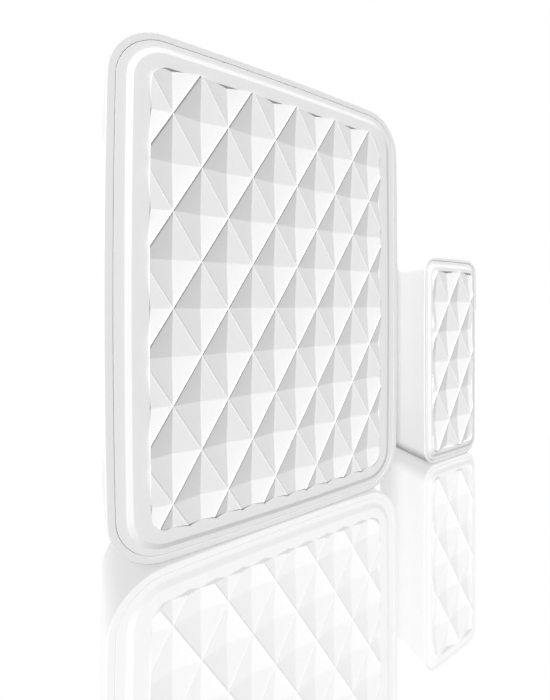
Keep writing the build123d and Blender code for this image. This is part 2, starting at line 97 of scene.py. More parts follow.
def add_node(
    tree: bpy.types.NodeTree, kind: str, options: dict | None = None, inputs: dict | None = None
) -> bpy.types.Node:
    """Add one node with its settings and links.

    Args:
        tree: The tree that gets the node.
        kind: The node's type name.
        options: Attributes of the node and their values.
        inputs: Socket names or numbers, each with a value or the output that feeds it.

    Returns:
        The new node.
    """
    node = tree.nodes.new(kind)
    for name, value in (options or {}).items():
        setattr(node, name, value)
    for key, value in (inputs or {}).items():
        if isinstance(value, bpy.types.NodeSocket):
            tree.links.new(value, node.inputs[key])
        else:
            node.inputs[key].default_value = value
    return node


# Finishes


def new_material(name: str) -> tuple[bpy.types.Material, bpy.types.NodeTree]:
    """Make an empty node material.

    Args:
        name: The material's name.

    Returns:
        The material and its tree.
    """
    material = bpy.data.materials.new(name)
    material.use_nodes = True
    material.node_tree.nodes.clear()
    return material, material.node_tree


def grain(tree: bpy.types.NodeTree, size_mm: float, detail: float = 2.0) -> bpy.types.NodeSocket:
    """Add noise on object coordinates whose blobs are about size_mm across.

    Args:
        tree: The material's tree.
        size_mm: The blobs' size.
        detail: The noise's detail.

    Returns:
        The noise's value.
    """
    place = add_node(tree, "ShaderNodeTexCoord").outputs["Object"]
    pattern = {"Vector": place, "Scale": 1 / (size_mm * MM), "Detail": detail}
    return add_node(tree, "ShaderNodeTexNoise", inputs=pattern).outputs["Fac"]


def close_surface(tree: bpy.types.NodeTree, kind: str, inputs: dict) -> None:
    """End a material in a shader of a kind with its inputs."""
    shader = add_node(tree, kind, inputs=inputs)
    add_node(tree, "ShaderNodeOutputMaterial", inputs={"Surface": shader.outputs[0]})


def coat(
    tree: bpy.types.NodeTree,
    tints: tuple[bpy.types.NodeSocket, Colour, Colour],
    relief: tuple[float, float, bpy.types.NodeSocket],
    inputs: dict,
) -> None:
    """End a material in a surface of two mixed colours under a bump.

    Args:
        tree: The material's tree.
        tints: The mix's factor and its two colours.
        relief: The bump's strength, its depth in millimetres and its height.
        inputs: The surface's other inputs.
    """
    factor, low, high = tints
    mix = {"Factor": factor, "A": low, "B": high}
    tone = add_node(tree, "ShaderNodeMix", {"data_type": "RGBA"}, mix).outputs["Result"]
    strength, depth_mm, height = relief
    depth = {"Strength": strength, "Distance": depth_mm * MM, "Height": height}
    normal = add_node(tree, "ShaderNodeBump", inputs=depth).outputs["Normal"]
    close_surface(tree, "ShaderNodeBsdfPrincipled", {"Base Color": tone, "Normal": normal, **inputs})


@dataclass(frozen=True)
class MouldedPlastic:
    """Injection-moulded plastic: an even satin colour, under the fine grain of a spark-eroded mould.

    Real grain of that kind is about 0.03 mm wide. It is drawn coarser, so that it shows.
    """

    name: str
    colour: str
    roughness: float = 0.42
    grain_mm: float = 0.28
    grain_depth_mm: float = 0.006
    shade: float = 0.985
    cloud_mm: float = 14.0
    satin_range: float = 0.05
    relief: float = 0.5

    def build(self) -> bpy.types.Material:
        """Build the material.

        Returns:
            The finished material.
        """
        material, tree = new_material(self.name)
        fine, broad = grain(tree, self.grain_mm), grain(tree, self.cloud_mm)
        low, high = self.roughness - self.satin_range, self.roughness + self.satin_range
        satin = add_node(tree, "ShaderNodeMapRange", inputs={"Value": fine, "To Min": low, "To Max": high})
        tints = (broad, linear_colour(self.colour, self.shade), linear_colour(self.colour))
        surface = {"Roughness": satin.outputs["Result"], "IOR": 1.5}
        coat(tree, tints, (self.relief, self.grain_depth_mm, fine), surface)
        return material


@dataclass(frozen=True)
class PlatedMetal:
    """Stamped or drawn metal with a plated surface: brushed lines along one axis and faint stains.

    Real brushed lines are about 0.02 mm apart. They are drawn coarser, so that they show.
    """

    name: str
    colour: str
    roughness: float = 0.28
    line_mm: float = 0.12
    stretch: Point = (1.0, 1.0, 0.06)
    stain: float = 0.94
    stain_mm: float = 2.5
    line_depth_mm: float = 0.003
    relief: float = 0.12
    polish_fall: float = 0.04
    polish_rise: float = 0.06

    def build(self) -> bpy.types.Material:
        """Build the material.

        Returns:
            The finished material.
        """
        material, tree = new_material(self.name)
        place = add_node(tree, "ShaderNodeTexCoord").outputs["Object"]
        along = add_node(tree, "ShaderNodeMapping", inputs={"Vector": place, "Scale": self.stretch})
        pattern = {"Vector": along.outputs[0], "Scale": 1 / (self.line_mm * MM), "Detail": 1.0}
        lines = add_node(tree, "ShaderNodeTexNoise", inputs=pattern).outputs["Fac"]
        stains = grain(tree, self.stain_mm, 4.0)
        tints = (stains, linear_colour(self.colour, self.stain), linear_colour(self.colour))
        low, high = self.roughness - self.polish_fall, self.roughness + self.polish_rise
        polish = add_node(tree, "ShaderNodeMapRange", inputs={"Value": lines, "To Min": low, "To Max": high})
        surface = {"Metallic": 1.0, "Roughness": polish.outputs["Result"]}
        coat(tree, tints, (self.relief, self.line_depth_mm, lines), surface)
        return material


@dataclass(frozen=True)
class ClosedCellFoam:
    """Die-cut polyethylene foam tape: matt, with cut bubbles that show as small pits, which are painted
    darker as painted shade.
    """

    name: str = "closed_cell_pe_foam"
    colour: str = "#DADAD6"
    # Painted shade: the darker colour that the pits' middles get.
    pit_painted_shade_colour: str = "#BDBDB8"
    cell_mm: float = 0.35
    pit_depth_mm: float = 0.05
    relief: float = 0.7
    roughness: float = 0.92

    def build(self) -> bpy.types.Material:
        """Build the material.

        Returns:
            The finished material.
        """
        material, tree = new_material(self.name)
        place = add_node(tree, "ShaderNodeTexCoord").outputs["Object"]
        pattern = {"Vector": place, "Scale": 1 / (self.cell_mm * MM), "Smoothness": 0.6}
        cells = add_node(tree, "ShaderNodeTexVoronoi", {"feature": "SMOOTH_F1"}, pattern).outputs["Distance"]
        # The colour darkens towards each pit's middle, where the bump is lowest: painted shade in the cut
        # bubbles.
        tints = (cells, linear_colour(self.pit_painted_shade_colour), linear_colour(self.colour))
        coat(tree, tints, (self.relief, self.pit_depth_mm, cells), {"Roughness": self.roughness})
        return material


@dataclass(frozen=True)
class SolderMask:
    """Glass-epoxy board under solder mask: a glossy lacquer that shows the laminate's weave faintly.

    Real yarns lie about 0.5 mm apart. They are drawn twice as far apart, so that they show.
    """

    name: str
    colour: str
    weave_colour: str
    weave_mm: float = 0.5
    # Divides the waves' scale, which makes a wave twice weave_mm long.
    wave_stretch: float = 6.3
    ripple_mm: float = 0.6
    ripple_depth_mm: float = 0.01
    relief: float = 0.2

    def build(self) -> bpy.types.Material:
        """Build the material.

        Returns:
            The finished material.
        """
        material, tree = new_material(self.name)
        place = add_node(tree, "ShaderNodeTexCoord").outputs["Object"]
        pattern = {"Vector": place, "Scale": 1 / (self.weave_mm * MM) / self.wave_stretch, "Distortion": 0.4}
        warp, weft = (
            add_node(tree, "ShaderNodeTexWave", {"bands_direction": direction}, pattern).outputs["Fac"]
            for direction in ("X", "Z")
        )
        weave = add_node(tree, "ShaderNodeMath", {"operation": "MULTIPLY"}, {0: warp, 1: weft}).outputs[0]
        tints = (weave, linear_colour(self.colour), linear_colour(self.weave_colour))
        ripple = (self.relief, self.ripple_depth_mm, grain(tree, self.ripple_mm))
        coat(tree, tints, ripple, {"Roughness": 0.3, "Coat Weight": 0.4, "Coat Roughness": 0.12})
        return material


@dataclass(frozen=True)
class PrintedSleeve:
    """Shrink sleeve of a cell: metallic ink in a dark band and a light band round the nub's end."""

    name: str
    band_colour: str
    body_colour: str
    split_z_mm: float
    upwards: bool
    wrinkle_mm: float = 3.0
    wrinkle_depth_mm: float = 0.02
    relief: float = 0.3

    def build(self) -> bpy.types.Material:
        """Build the material.

        Returns:
            The finished material.
        """
        material, tree = new_material(self.name)
        place = add_node(tree, "ShaderNodeTexCoord").outputs["Object"]
        height = add_node(tree, "ShaderNodeSeparateXYZ", inputs={0: place}).outputs["Z"]
        split = {0: height, 1: self.split_z_mm * MM}
        over = add_node(tree, "ShaderNodeMath", {"operation": "GREATER_THAN"}, split).outputs[0]
        colours = (self.body_colour, self.band_colour)
        low, high = colours if self.upwards else colours[::-1]
        wrinkles = (self.relief, self.wrinkle_depth_mm, grain(tree, self.wrinkle_mm, 3.0))
        surface = {"Metallic": 0.35, "Roughness": 0.27, "Coat Weight": 0.6, "Coat Roughness": 0.08}
        coat(tree, (over, linear_colour(low), linear_colour(high)), wrinkles, surface)
        return material


@dataclass(frozen=True)
class DrawnGlass:
    """Drawn soda-lime glass: clear, with the faint green that infrared-sealed tubes have."""

    name: str = "drawn_soda_lime_glass"
    colour: str = "#D9EBDD"
    streak_mm: float = 0.8

    def build(self) -> bpy.types.Material:
        """Build the material.

        Returns:
            The finished material.
        """
        material, tree = new_material(self.name)
        spread = {"Value": grain(tree, self.streak_mm), "To Min": 0.02, "To Max": 0.07}
        surface = {
            "Base Color": linear_colour(self.colour),
            "Roughness": add_node(tree, "ShaderNodeMapRange", inputs=spread).outputs["Result"],
            "Transmission Weight": 0.9,
            "IOR": 1.5,
        }
        close_surface(tree, "ShaderNodeBsdfPrincipled", surface)
        return material


class Stock(Enum):
    """The finishes of this object, each under the record's slot that it stands for."""

    # Moulded plastics: even satin colours. The crests are glossier, and their nearly white colour is a
    # painted highlight along the ridges.
    HOUSING = ("housing_white", MouldedPlastic("abs_moulded_white", "#E4E4E4"))
    COVER = ("cover_white", MouldedPlastic("abs_moulded_white_cover", "#E6E6E6"))
    POLISHED = ("cover_white", MouldedPlastic("abs_polished_crests", "#FBFBFB", 0.25, 0.28, 0.001))
    SWITCH = ("switch_black", MouldedPlastic("glass_filled_nylon_black", "#222325", 0.5, 0.2, 0.01, 0.8))
    BUTTON = ("button_white", MouldedPlastic("pom_moulded_white", "#DDDCD6", 0.35, 0.3, 0.004))
    PLUNGER = ("plunger_red", MouldedPlastic("pom_moulded_red", "#A32018", 0.35, 0.3, 0.004, 0.9))
    # Foam tape: matt and greyish white, with pits where bubbles were cut, painted darker in the pits as
    # painted shade.
    FOAM = ("adhesive_foam", ClosedCellFoam())
    # The boards: glossy lacquer over glass weave, copper seen through it or gold flashed, white ink.
    BOARD = ("board_green", SolderMask("fr4_green_solder_mask", "#14532B", "#1B6436"))
    RADIO_BOARD = ("radio_board_blue", SolderMask("fr4_blue_solder_mask", "#15305E", "#1B3C74"))
    TRACE = ("board_green", SolderMask("copper_under_green_mask", "#2A7A3F", "#2F8747"))
    COPPER = ("copper_trace", PlatedMetal("gold_flashed_copper", "#D1A24E", 0.3, 0.1))
    INK = ("board_green", MouldedPlastic("screen_printed_white_ink", "#D8DAD6", 0.6, 0.2, 0.004, 0.93))
    # Plated and drawn metals: grey mirrors, softened by their brushing or their reflowed skin.
    SHIELD = ("shield_tin", PlatedMetal("tinned_steel_stamped", "#C9CACB", 0.3, 0.15))
    NICKEL = ("contact_nickel", PlatedMetal("nickel_plated_spring_steel", "#BDB8AE", 0.24, 0.1))
    ZINC = ("screw_steel", PlatedMetal("zinc_plated_steel", "#A9ABAF", 0.3, 0.2, (1.0, 1.0, 1.0)))
    TIN = ("lead_tin", PlatedMetal("tin_solder_reflowed", "#C4C5C6", 0.2, 0.4, (1.0, 1.0, 1.0)))
    CRYSTAL = ("crystal_case", PlatedMetal("nickel_lid_seam_welded", "#CFCBBF", 0.22, 0.1))
    CAPACITOR = ("capacitor_can", PlatedMetal("drawn_aluminium_can", "#CBCCCE", 0.26, 0.08))
    MAGNET = ("magnet_nickel", PlatedMetal("nickel_plated_sintered_magnet", "#B5B5B3", 0.2, 0.3))
    # Parts on the board: matt epoxy, fired ceramic, a milky lens and clear greenish glass.
    EPOXY = ("chip_black", MouldedPlastic("black_mould_epoxy", "#1C1D1F", 0.5, 0.12, 0.012, 0.8))
    CERAMIC = ("chip_ceramic", MouldedPlastic("fired_barium_ceramic", "#8F7250", 0.55, 0.15, 0.01, 0.85))
    LENS = ("led_lens", MouldedPlastic("diffused_led_epoxy", "#E3E8D8", 0.2, 0.3, 0.002, 0.95))
    GLASS = ("glass_tube", DrawnGlass())
    # Printed sleeves of the cells: metallic ink, copper-coloured round the nub's end, else nearly black.
    SLEEVE_LEFT = ("cell_jacket", PrintedSleeve("cell_sleeve_left", "#B98A4A", "#26282C", 9.0, True))
    SLEEVE_RIGHT = ("cell_jacket", PrintedSleeve("cell_sleeve_right", "#B98A4A", "#26282C", -9.0, False))

    @property
    def slot(self) -> str:
        """The record's material slot."""
        return self.value[0]

    def material(self) -> bpy.types.Material:
        """Return the finish's material, made once."""
        made = bpy.data.materials.get(self.value[1].name)
        return made or self.value[1].build()


# Shapes


def in_frame(points: Ring) -> Ring:
    """Turn points given as x, height and z in millimetres into metres in the frame."""
    return [(x * MM, -h * MM, z * MM) for x, h, z in points]


def new_object(name: str, data: bpy.types.ID) -> bpy.types.Object:
    """Make an object and link it into the scene.

    Args:
        name: The object's name.
        data: Its mesh, lamp or camera.

    Returns:
        The object.
    """
    item = bpy.data.objects.new(name, data)
    bpy.context.scene.collection.objects.link(item)
    return item


@dataclass(frozen=True)
class Outline:
    """A rounded rectangle in millimetres whose sides bulge by bow at their middles."""

    width: float
    height: float
    corner: float
    bow: float = 0.01

    def inset(self, distance: float) -> "Outline":
        """Return the outline drawn in by distance, or grown where it is negative."""
        width, height = self.width - 2 * distance, self.height - 2 * distance
        return replace(self, width=width, height=height, corner=max(self.corner - distance, LEAST_CORNER))

    def quarter(self, side_steps: int, corner_steps: int) -> list[Pair]:
        """Sample a quarter, from the right side's middle to just before the top's middle.

        Args:
            side_steps: Steps along each half side.
            corner_steps: Steps round the corner.

        Returns:
            The points as x and z.
        """
        x, z = self.width / 2 - self.bow, self.height / 2 - self.bow
        right_radius = (z * z + self.bow * self.bow) / (2 * self.bow)
        top_radius = (x * x + self.bow * self.bow) / (2 * self.bow)
        right = Vector((self.width / 2 - right_radius, 0.0))
        top = Vector((0.0, self.height / 2 - top_radius))
        reach_right, reach_top = right_radius - self.corner, top_radius - self.corner
        span = top - right
        along = (reach_right**2 - reach_top**2 + span.length_squared) / (2 * span.length)
        off = math.sqrt(max(reach_right**2 - along**2, 0.0))
        unit = span.normalized()
        centre = right + unit * along + Vector((unit.y, -unit.x)) * off
        if centre.x < 0 or centre.y < 0:
            centre = right + unit * along - Vector((unit.y, -unit.x)) * off
        start = math.atan2(centre.y - right.y, centre.x - right.x)
        end = math.atan2(centre.y - top.y, centre.x - top.x)
        points = []
        for middle, radius, first, last, steps in (
            (right, right_radius, 0.0, start, side_steps),
            (centre, self.corner, start, end, corner_steps),
            (top, top_radius, end, math.pi / 2, side_steps),
        ):
            for step in range(steps):
                angle = first + (last - first) * step / steps
                points.append((middle.x + radius * math.cos(angle), middle.y + radius * math.sin(angle)))
        return points

    def ring(self, height: float, centre: Pair, side_steps: int = 5, corner_steps: int = 12) -> Ring:
        """Return the whole outline at a height in front of the wall.

        Args:
            height: Distance from the wall.
            centre: The outline's middle as x and z.
            side_steps: Steps along each half side.
            corner_steps: Steps round each corner.

        Returns:
            The ring's points as x, height and z.
        """
        quarter = self.quarter(side_steps, corner_steps)
        half = quarter + [(0.0, self.height / 2)] + [(-x, z) for x, z in reversed(quarter)]
        lower = [(x, -z) for x, z in reversed(half[1:-1])]
        return [(centre[0] + x, height, centre[1] + z) for x, z in half + lower]


def arc_steps(steps: int) -> list[Pair]:
    """Return (1 - cos, sin) at even steps of a quarter turn, ends included."""
    turns = [math.pi / 2 * step / steps for step in range(steps + 1)]
    return [(1 - math.cos(turn), math.sin(turn)) for turn in turns]


class Draft:
    """A mesh in the making, with points as x, height in front of the wall and z in millimetres."""

    def __init__(self) -> None:
        """Start with nothing."""
        self.points: Ring = []
        self.faces: list[tuple[int, ...]] = []

    def loft(self, rings: list[Ring], close_ends: bool = True) -> "Draft":
        """Skin rings of equal length, in order.

        Args:
            rings: The rings.
            close_ends: Whether the first and last ring get a face.

        Returns:
            This draft.
        """
        first = len(self.points)
        size = len(rings[0])
        for ring in rings:
            self.points.extend(ring)
        for row in range(len(rings) - 1):
            a, b = first + row * size, first + (row + 1) * size
            for i in range(size):
                j = (i + 1) % size
                self.faces.append((a + i, a + j, b + j, b + i))
        if close_ends:
            last = first + (len(rings) - 1) * size
            self.faces.append(tuple(range(first, first + size)))
            self.faces.append(tuple(reversed(range(last, last + size))))
        return self

    def prism(self, profile: Sequence[Pair], axis: str, low: float, high: float) -> "Draft":
        """Extrude a closed profile.

        Args:
            profile: Its corners, as z and height along "x", x and height along "z", and x and z
                along "height".
            axis: The direction: "x", "z" or "height".
            low: Where it starts.
            high: Where it ends.

        Returns:
            This draft.
        """
        order = {"x": (2, 1, 0), "z": (0, 1, 2), "height": (0, 2, 1)}[axis]
        ends = [[(a, b, along) for a, b in profile] for along in (low, high)]
        return self.loft([[tuple(corner[i] for i in order) for corner in end] for end in ends])

    def brick(self, x: float, z: float, width: float, length: float, low: float, high: float) -> "Draft":
        """Add a block between two heights.

        Args:
            x: Its middle along x.
            z: Its middle along z.
            width: Size along x.
            length: Size along z.
            low: Lower height.
            high: Upper height.

        Returns:
            This draft.
        """
        a, b = width / 2, length / 2
        corners = [(x - a, z - b), (x + a, z - b), (x + a, z + b), (x - a, z + b)]
        return self.prism(corners, "height", low, high)

    def band(self, outer: Ring, inner: Ring, low: float, high: float) -> "Draft":
        """Add a flat closed band between two rings of equal length.

        Args:
            outer: The outer ring.
            inner: The inner ring.
            low: Lower height.
            high: Upper height.

        Returns:
            This draft.
        """
        steps = ((outer, low), (outer, high), (inner, high), (inner, low), (outer, low))
        return self.loft([[(x, level, z) for x, _, z in ring] for ring, level in steps], False)

    def lathe(
        self, profile: Sequence[Pair], segments: int = 48, centre: Point = MIDDLE, upright: bool = False
    ) -> "Draft":
        """Turn a profile round an axis that points forwards, or round an upright one.

        Args:
            profile: Pairs of length along the axis and radius.
            segments: Steps round the axis.
            centre: The point on the axis that lengths start from.
            upright: Whether the axis runs along z.

        Returns:
            This draft.
        """
        rings = []
        for along, radius in profile:
            ring = []
            for step in range(segments):
                turn = 2 * math.pi * step / segments
                a, b = radius * math.cos(turn), radius * math.sin(turn)
                h, z = (b, along) if upright else (along, b)
                ring.append((centre[0] + a, centre[1] + h, centre[2] + z))
            rings.append(ring)
        return self.loft(rings)

    def mesh(self, name: str) -> bpy.types.Mesh:
        """Turn the draft into a mesh in the frame.

        Args:
            name: The mesh's name.

        Returns:
            The mesh.
        """
        mesh = bpy.data.meshes.new(name)
        mesh.from_pydata(in_frame(self.points), [], self.faces)
        return mesh

    def settle(
        self, name: str, stock: Stock, edge_mm: float = 0.0, body: str | None = SENSOR_BASE
    ) -> bpy.types.Object:
        """Make the object, closed and facing outwards.

        Args:
            name: The piece's name.
            stock: Its finish.
            edge_mm: The rounding of its sharp edges.
            body: The body it rides on, or None for a tool that is deleted later.

        Returns:
            The new object.
        """
        return settle_mesh(self.mesh(name), name, stock, edge_mm, body)


def block(width: float, length: float, height: float) -> Draft:
    """Return a block that stands on the middle of the coordinates."""
    return Draft().brick(0.0, 0.0, width, length, 0.0, height)


def settle_mesh(
    mesh: bpy.types.Mesh, name: str, stock: Stock, edge_mm: float = 0.0, body: str | None = SENSOR_BASE
) -> bpy.types.Object:
    """Merge, turn outwards, shade and dress a mesh, and make its object.

    Args:
        mesh: The mesh, in metres in the frame.
        name: The piece's name.
        stock: Its finish.
        edge_mm: The rounding of its sharp edges.
        body: The body it rides on, or None for a tool that is deleted later.

    Returns:
        The new object.
    """
    work = bmesh.new()
    work.from_mesh(mesh)
    bmesh.ops.remove_doubles(work, verts=work.verts, dist=MERGE_MM * MM)
    bmesh.ops.recalc_face_normals(work, faces=work.faces)
    work.to_mesh(mesh)
    work.free()
    mesh.materials.clear()
    mesh.materials.append(stock.material())
    mesh.shade_smooth()
    mesh.set_sharp_from_angle(angle=math.radians(SHARP_DEG))
    piece = new_object(name, mesh)
    if edge_mm:
        bevel = piece.modifiers.new("rounded_edges", "BEVEL")
        bevel.width = edge_mm * MM
        bevel.segments = EDGE_STEPS
        bevel.limit_method = "ANGLE"
        bevel.angle_limit = math.radians(SHARP_DEG)
        bevel.harden_normals = True
        bevel.use_clamp_overlap = True
    if body:
        weigh = piece.modifiers.new("even_normals", "WEIGHTED_NORMAL")
        weigh.keep_sharp = True
        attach(piece, body)
        log.info("%s: %d faces on %s", name, len(mesh.polygons), body)
    return piece


def evaluated(piece: bpy.types.Object) -> bpy.types.Mesh:
    """Work out a piece's modifiers.

    Args:
        piece: The piece.

    Returns:
        A new mesh that has the modifiers' result.
    """
    bpy.context.view_layer.update()
    graph = bpy.context.evaluated_depsgraph_get()
    return bpy.data.meshes.new_from_object(piece.evaluated_get(graph))


def carve(piece: bpy.types.Object, tool: bpy.types.Object) -> None:
    """Cut a piece with a closed tool, and delete the tool.

    Args:
        piece: The piece, which gets a new mesh.
        tool: The closed tool.
    """
    step = piece.modifiers.new("carve", "BOOLEAN")
    step.operation = "DIFFERENCE"
    step.solver = "EXACT"
    step.object = tool
    piece.data = evaluated(piece)
    piece.modifiers.clear()
    bpy.data.objects.remove(tool)


def refined(node: str, stock: Stock, edge_mm: float, body: str = SENSOR_BASE) -> None:
    """Stand in for a CAD node with a merged copy whose edges are rounded.

    Args:
        node: The CAD node.
        stock: The finish.
        edge_mm: The rounding's size.
        body: The body it rides on.
    """
    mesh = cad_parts[node].data.copy()
    work = bmesh.new()
    work.from_mesh(mesh)
    flat = math.radians(FLAT_DEG)
    bmesh.ops.remove_doubles(work, verts=work.verts, dist=SHEET_MERGE_MM * MM)
    bmesh.ops.dissolve_limit(work, angle_limit=flat, verts=work.verts, edges=work.edges)
    work.to_mesh(mesh)
    work.free()
    piece = settle_mesh(mesh, f"{node}_detail", stock, edge_mm, body)
    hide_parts(node)


# Geometry Nodes


class Recipe:
    """A Geometry Nodes tree with named inputs."""

    def __init__(self, name: str, inputs: dict[str, str]) -> None:
        """Start the tree.

        Args:
            name: The tree's name.
            inputs: Input names and their socket types.
        """
        self.tree = bpy.data.node_groups.new(name, "GeometryNodeTree")
        self.tree.is_modifier = True
        face = self.tree.interface
        for label, kind in inputs.items():
            face.new_socket(name=label, in_out="INPUT", socket_type=f"NodeSocket{kind}")
        face.new_socket(name="Geometry", in_out="OUTPUT", socket_type="NodeSocketGeometry")
        self.ins = add_node(self.tree, "NodeGroupInput").outputs

    def close(self, flow: bpy.types.NodeSocket, steps: list[tuple[str, dict, dict]]) -> bpy.types.NodeTree:
        """Run geometry through steps and end it as real geometry with its material.

        Args:
            flow: The geometry that the first step starts from.
            steps: Each step's node type, options and inputs besides the geometry.

        Returns:
            The finished tree.
        """
        real = ("GeometryNodeRealizeInstances", {}, {})
        dressed = ("GeometryNodeSetMaterial", {}, {"Material": self.ins["Material"]})
        for kind, options, inputs in (*steps, real, dressed):
            flow = add_node(self.tree, kind, options, {0: flow, **inputs}).outputs[0]
        add_node(self.tree, "NodeGroupOutput", inputs={0: flow})
        return self.tree


def grown(
    tree: bpy.types.NodeTree, seed: bpy.types.Mesh, values: dict[str, object], name: str
) -> bpy.types.Mesh:
    """Evaluate a tree on a mesh with its inputs set.

    Args:
        tree: The tree.
        seed: The mesh that it starts from.
        values: Input names and their values.
        name: The result's name.

    Returns:
        The result as a plain mesh.
    """
    base = new_object(seed.name, seed)
    step = base.modifiers.new(tree.name, "NODES")
    step.node_group = tree
    for item in tree.interface.items_tree:
        if item.in_out == "INPUT" and item.name in values:
            step[item.identifier] = values[item.name]
    mesh = evaluated(base)
    mesh.name = name
    bpy.data.objects.remove(base)
    return mesh


@cache
def relief_tree() -> bpy.types.NodeTree:
    """Build the tree that tiles a sheet with inverted pyramids.

    The lattice is a grid. Its points of one parity carry a tile, and the tiles meet edge to edge, so
    that merging them gives one sheet.

    Returns:
        The tree.
    """
    halves = {"Half Width": "Float", "Half Height": "Float"}
    sizes = halves | {"Columns": "Int", "Rows": "Int", "Parity": "Float"}
    inputs = {"Geometry": "Geometry", "Tile": "Object", **sizes, "Place": "Vector", "Material": "Material"}
    recipe = Recipe("diamond_relief", inputs)
    tree, ins = recipe.tree, recipe.ins
    position = add_node(tree, "GeometryNodeInputPosition").outputs[0]
    axes = add_node(tree, "ShaderNodeSeparateXYZ", inputs={0: position}).outputs
    known = {label: ins[label] for label in sizes} | {label: axes[label] for label in "XYZ"}
    for label, operation, *terms in (
        ("gaps across", "SUBTRACT", "Columns", 1.0),
        ("grid width", "MULTIPLY", "gaps across", "Half Width"),
        ("gaps up", "SUBTRACT", "Rows", 1.0),
        ("grid height", "MULTIPLY", "gaps up", "Half Height"),
        ("steps across", "DIVIDE", "X", "Half Width"),
        ("column", "ROUND", "steps across"),
        ("steps up", "DIVIDE", "Z", "Half Height"),
        ("row", "ROUND", "steps up"),
        ("place", "ADD", "column", "row"),
        ("shifted", "ADD", "place", "Parity"),
        ("turn", "FLOORED_MODULO", "shifted", 2.0),
        ("carries", "GREATER_THAN", "turn", 0.5),
        ("on crest", "LESS_THAN", "Y", TRIM_MERGE_MM * MM),
    ):
        inputs = {i: known.get(term, term) for i, term in enumerate(terms)}
        known[label] = add_node(tree, "ShaderNodeMath", {"operation": operation}, inputs).outputs[0]
    spread = {"Size X": known["grid width"], "Size Y": known["grid height"]}
    count = {"Vertices X": ins["Columns"], "Vertices Y": ins["Rows"]}
    grid = add_node(tree, "GeometryNodeMeshGrid", inputs=spread | count)
    tile = add_node(tree, "GeometryNodeObjectInfo", inputs={"Object": ins["Tile"]}).outputs["Geometry"]
    marks = {"data_type": "BOOLEAN", "domain": "FACE"}
    steps = [
        ("GeometryNodeTransform", {}, {"Rotation": UPRIGHT}),
        ("GeometryNodeInstanceOnPoints", {}, {"Selection": known["carries"], "Instance": tile}),
        ("GeometryNodeRealizeInstances", {}, {}),
        ("GeometryNodeMergeByDistance", {}, {"Distance": SHEET_MERGE_MM * MM}),
        ("GeometryNodeStoreNamedAttribute", marks, {"Name": CREST, "Value": known["on crest"]}),
        ("GeometryNodeTransform", {}, {"Translation": ins["Place"]}),
    ]
    return recipe.close(grid.outputs["Mesh"], steps)


@cache
def scatter_tree() -> bpy.types.NodeTree:
    """Build the tree that sets a copy of one small part on every point of a mesh.

    Returns:
        The tree.
    """
    recipe = Recipe("part_on_points", {"Geometry": "Geometry", "Part": "Object", "Material": "Material"})
    part = add_node(recipe.tree, "GeometryNodeObjectInfo", inputs={"Object": recipe.ins["Part"]})
    copies = ("GeometryNodeInstanceOnPoints", {}, {"Instance": part.outputs["Geometry"]})
    return recipe.close(recipe.ins["Geometry"], [copies])


@cache
def ribbon_tree() -> bpy.types.NodeTree:
    """Build the tree that lays a flat or square ribbon along lines drawn as x and z.

    Returns:
        The tree.
    """
    sizes = {"Width": "Float", "Thickness": "Float", "Level": "Vector"}
    recipe = Recipe("ribbon_along_lines", {"Geometry": "Geometry", **sizes, "Material": "Material"})
    size = {"Width": recipe.ins["Width"], "Height": recipe.ins["Thickness"]}
    section = add_node(recipe.tree, "GeometryNodeCurvePrimitiveQuadrilateral", inputs=size).outputs[0]
    steps = [
        ("GeometryNodeMeshToCurve", {}, {}),
        ("GeometryNodeSetCurveNormal", {"mode": "Z_UP"}, {}),
        ("GeometryNodeCurveToMesh", {}, {"Profile Curve": section, "Fill Caps": True}),
        ("GeometryNodeTransform", {}, {"Translation": recipe.ins["Level"], "Rotation": UPRIGHT}),
    ]
    return recipe.close(recipe.ins["Geometry"], steps)


def scatter(
    part: Draft | bpy.types.Object,
    spots: Iterable[Pair],
    level: float,
    name: str,
    stock: Stock,
    edge_mm: float = 0.0,
    body: str = SENSOR_BASE,
) -> bpy.types.Object:
    """Set copies of a small part, drawn about x 0, height 0 and z 0, at places of one height.

    Args:
        part: The part.
        spots: Where copies go, as x and z.
        level: The height that they stand on.
        name: The piece's name.
        stock: Its finish.
        edge_mm: The rounding of its sharp edges.
        body: The body it rides on.

    Returns:
        The joined copies as one piece.
    """
    tool = part.settle("part", stock, body=None) if isinstance(part, Draft) else part
    cloud = bpy.data.meshes.new("places")
    cloud.from_pydata(in_frame([(x, level, z) for x, z in spots]), [], [])
    mesh = grown(scatter_tree(), cloud, {"Part": tool, "Material": stock.material()}, name)
    bpy.data.objects.remove(tool)
    return settle_mesh(mesh, name, stock, edge_mm, body)


def ribbons(
    lines: list[Profile], width: float, thickness: float, level: float, name: str, stock: Stock
) -> None:
    """Lay ribbons along lines at one height, on the sensor unit.

    Args:
        lines: The lines' points as x and z.
        width: The ribbons' width.
        thickness: Their thickness.
        level: The height of their underside.
        name: The piece's name.
        stock: Its finish.
    """
    points: Ring = []
    edges: list[tuple[int, int]] = []
    for line in lines:
        first = len(points)
        points += [(x * MM, z * MM, 0.0) for x, z in line]
        edges += [(first + i, first + i + 1) for i in range(len(line) - 1)]
    drawn = bpy.data.meshes.new("lines")
    drawn.from_pydata(points, edges, [])
    values = {
        "Width": width * MM,
        "Thickness": thickness * MM,
        "Level": (0.0, -(level + thickness / 2) * MM, 0.0),
        "Material": stock.material(),
    }
    settle_mesh(grown(ribbon_tree(), drawn, values, name), name, stock)


# Housings


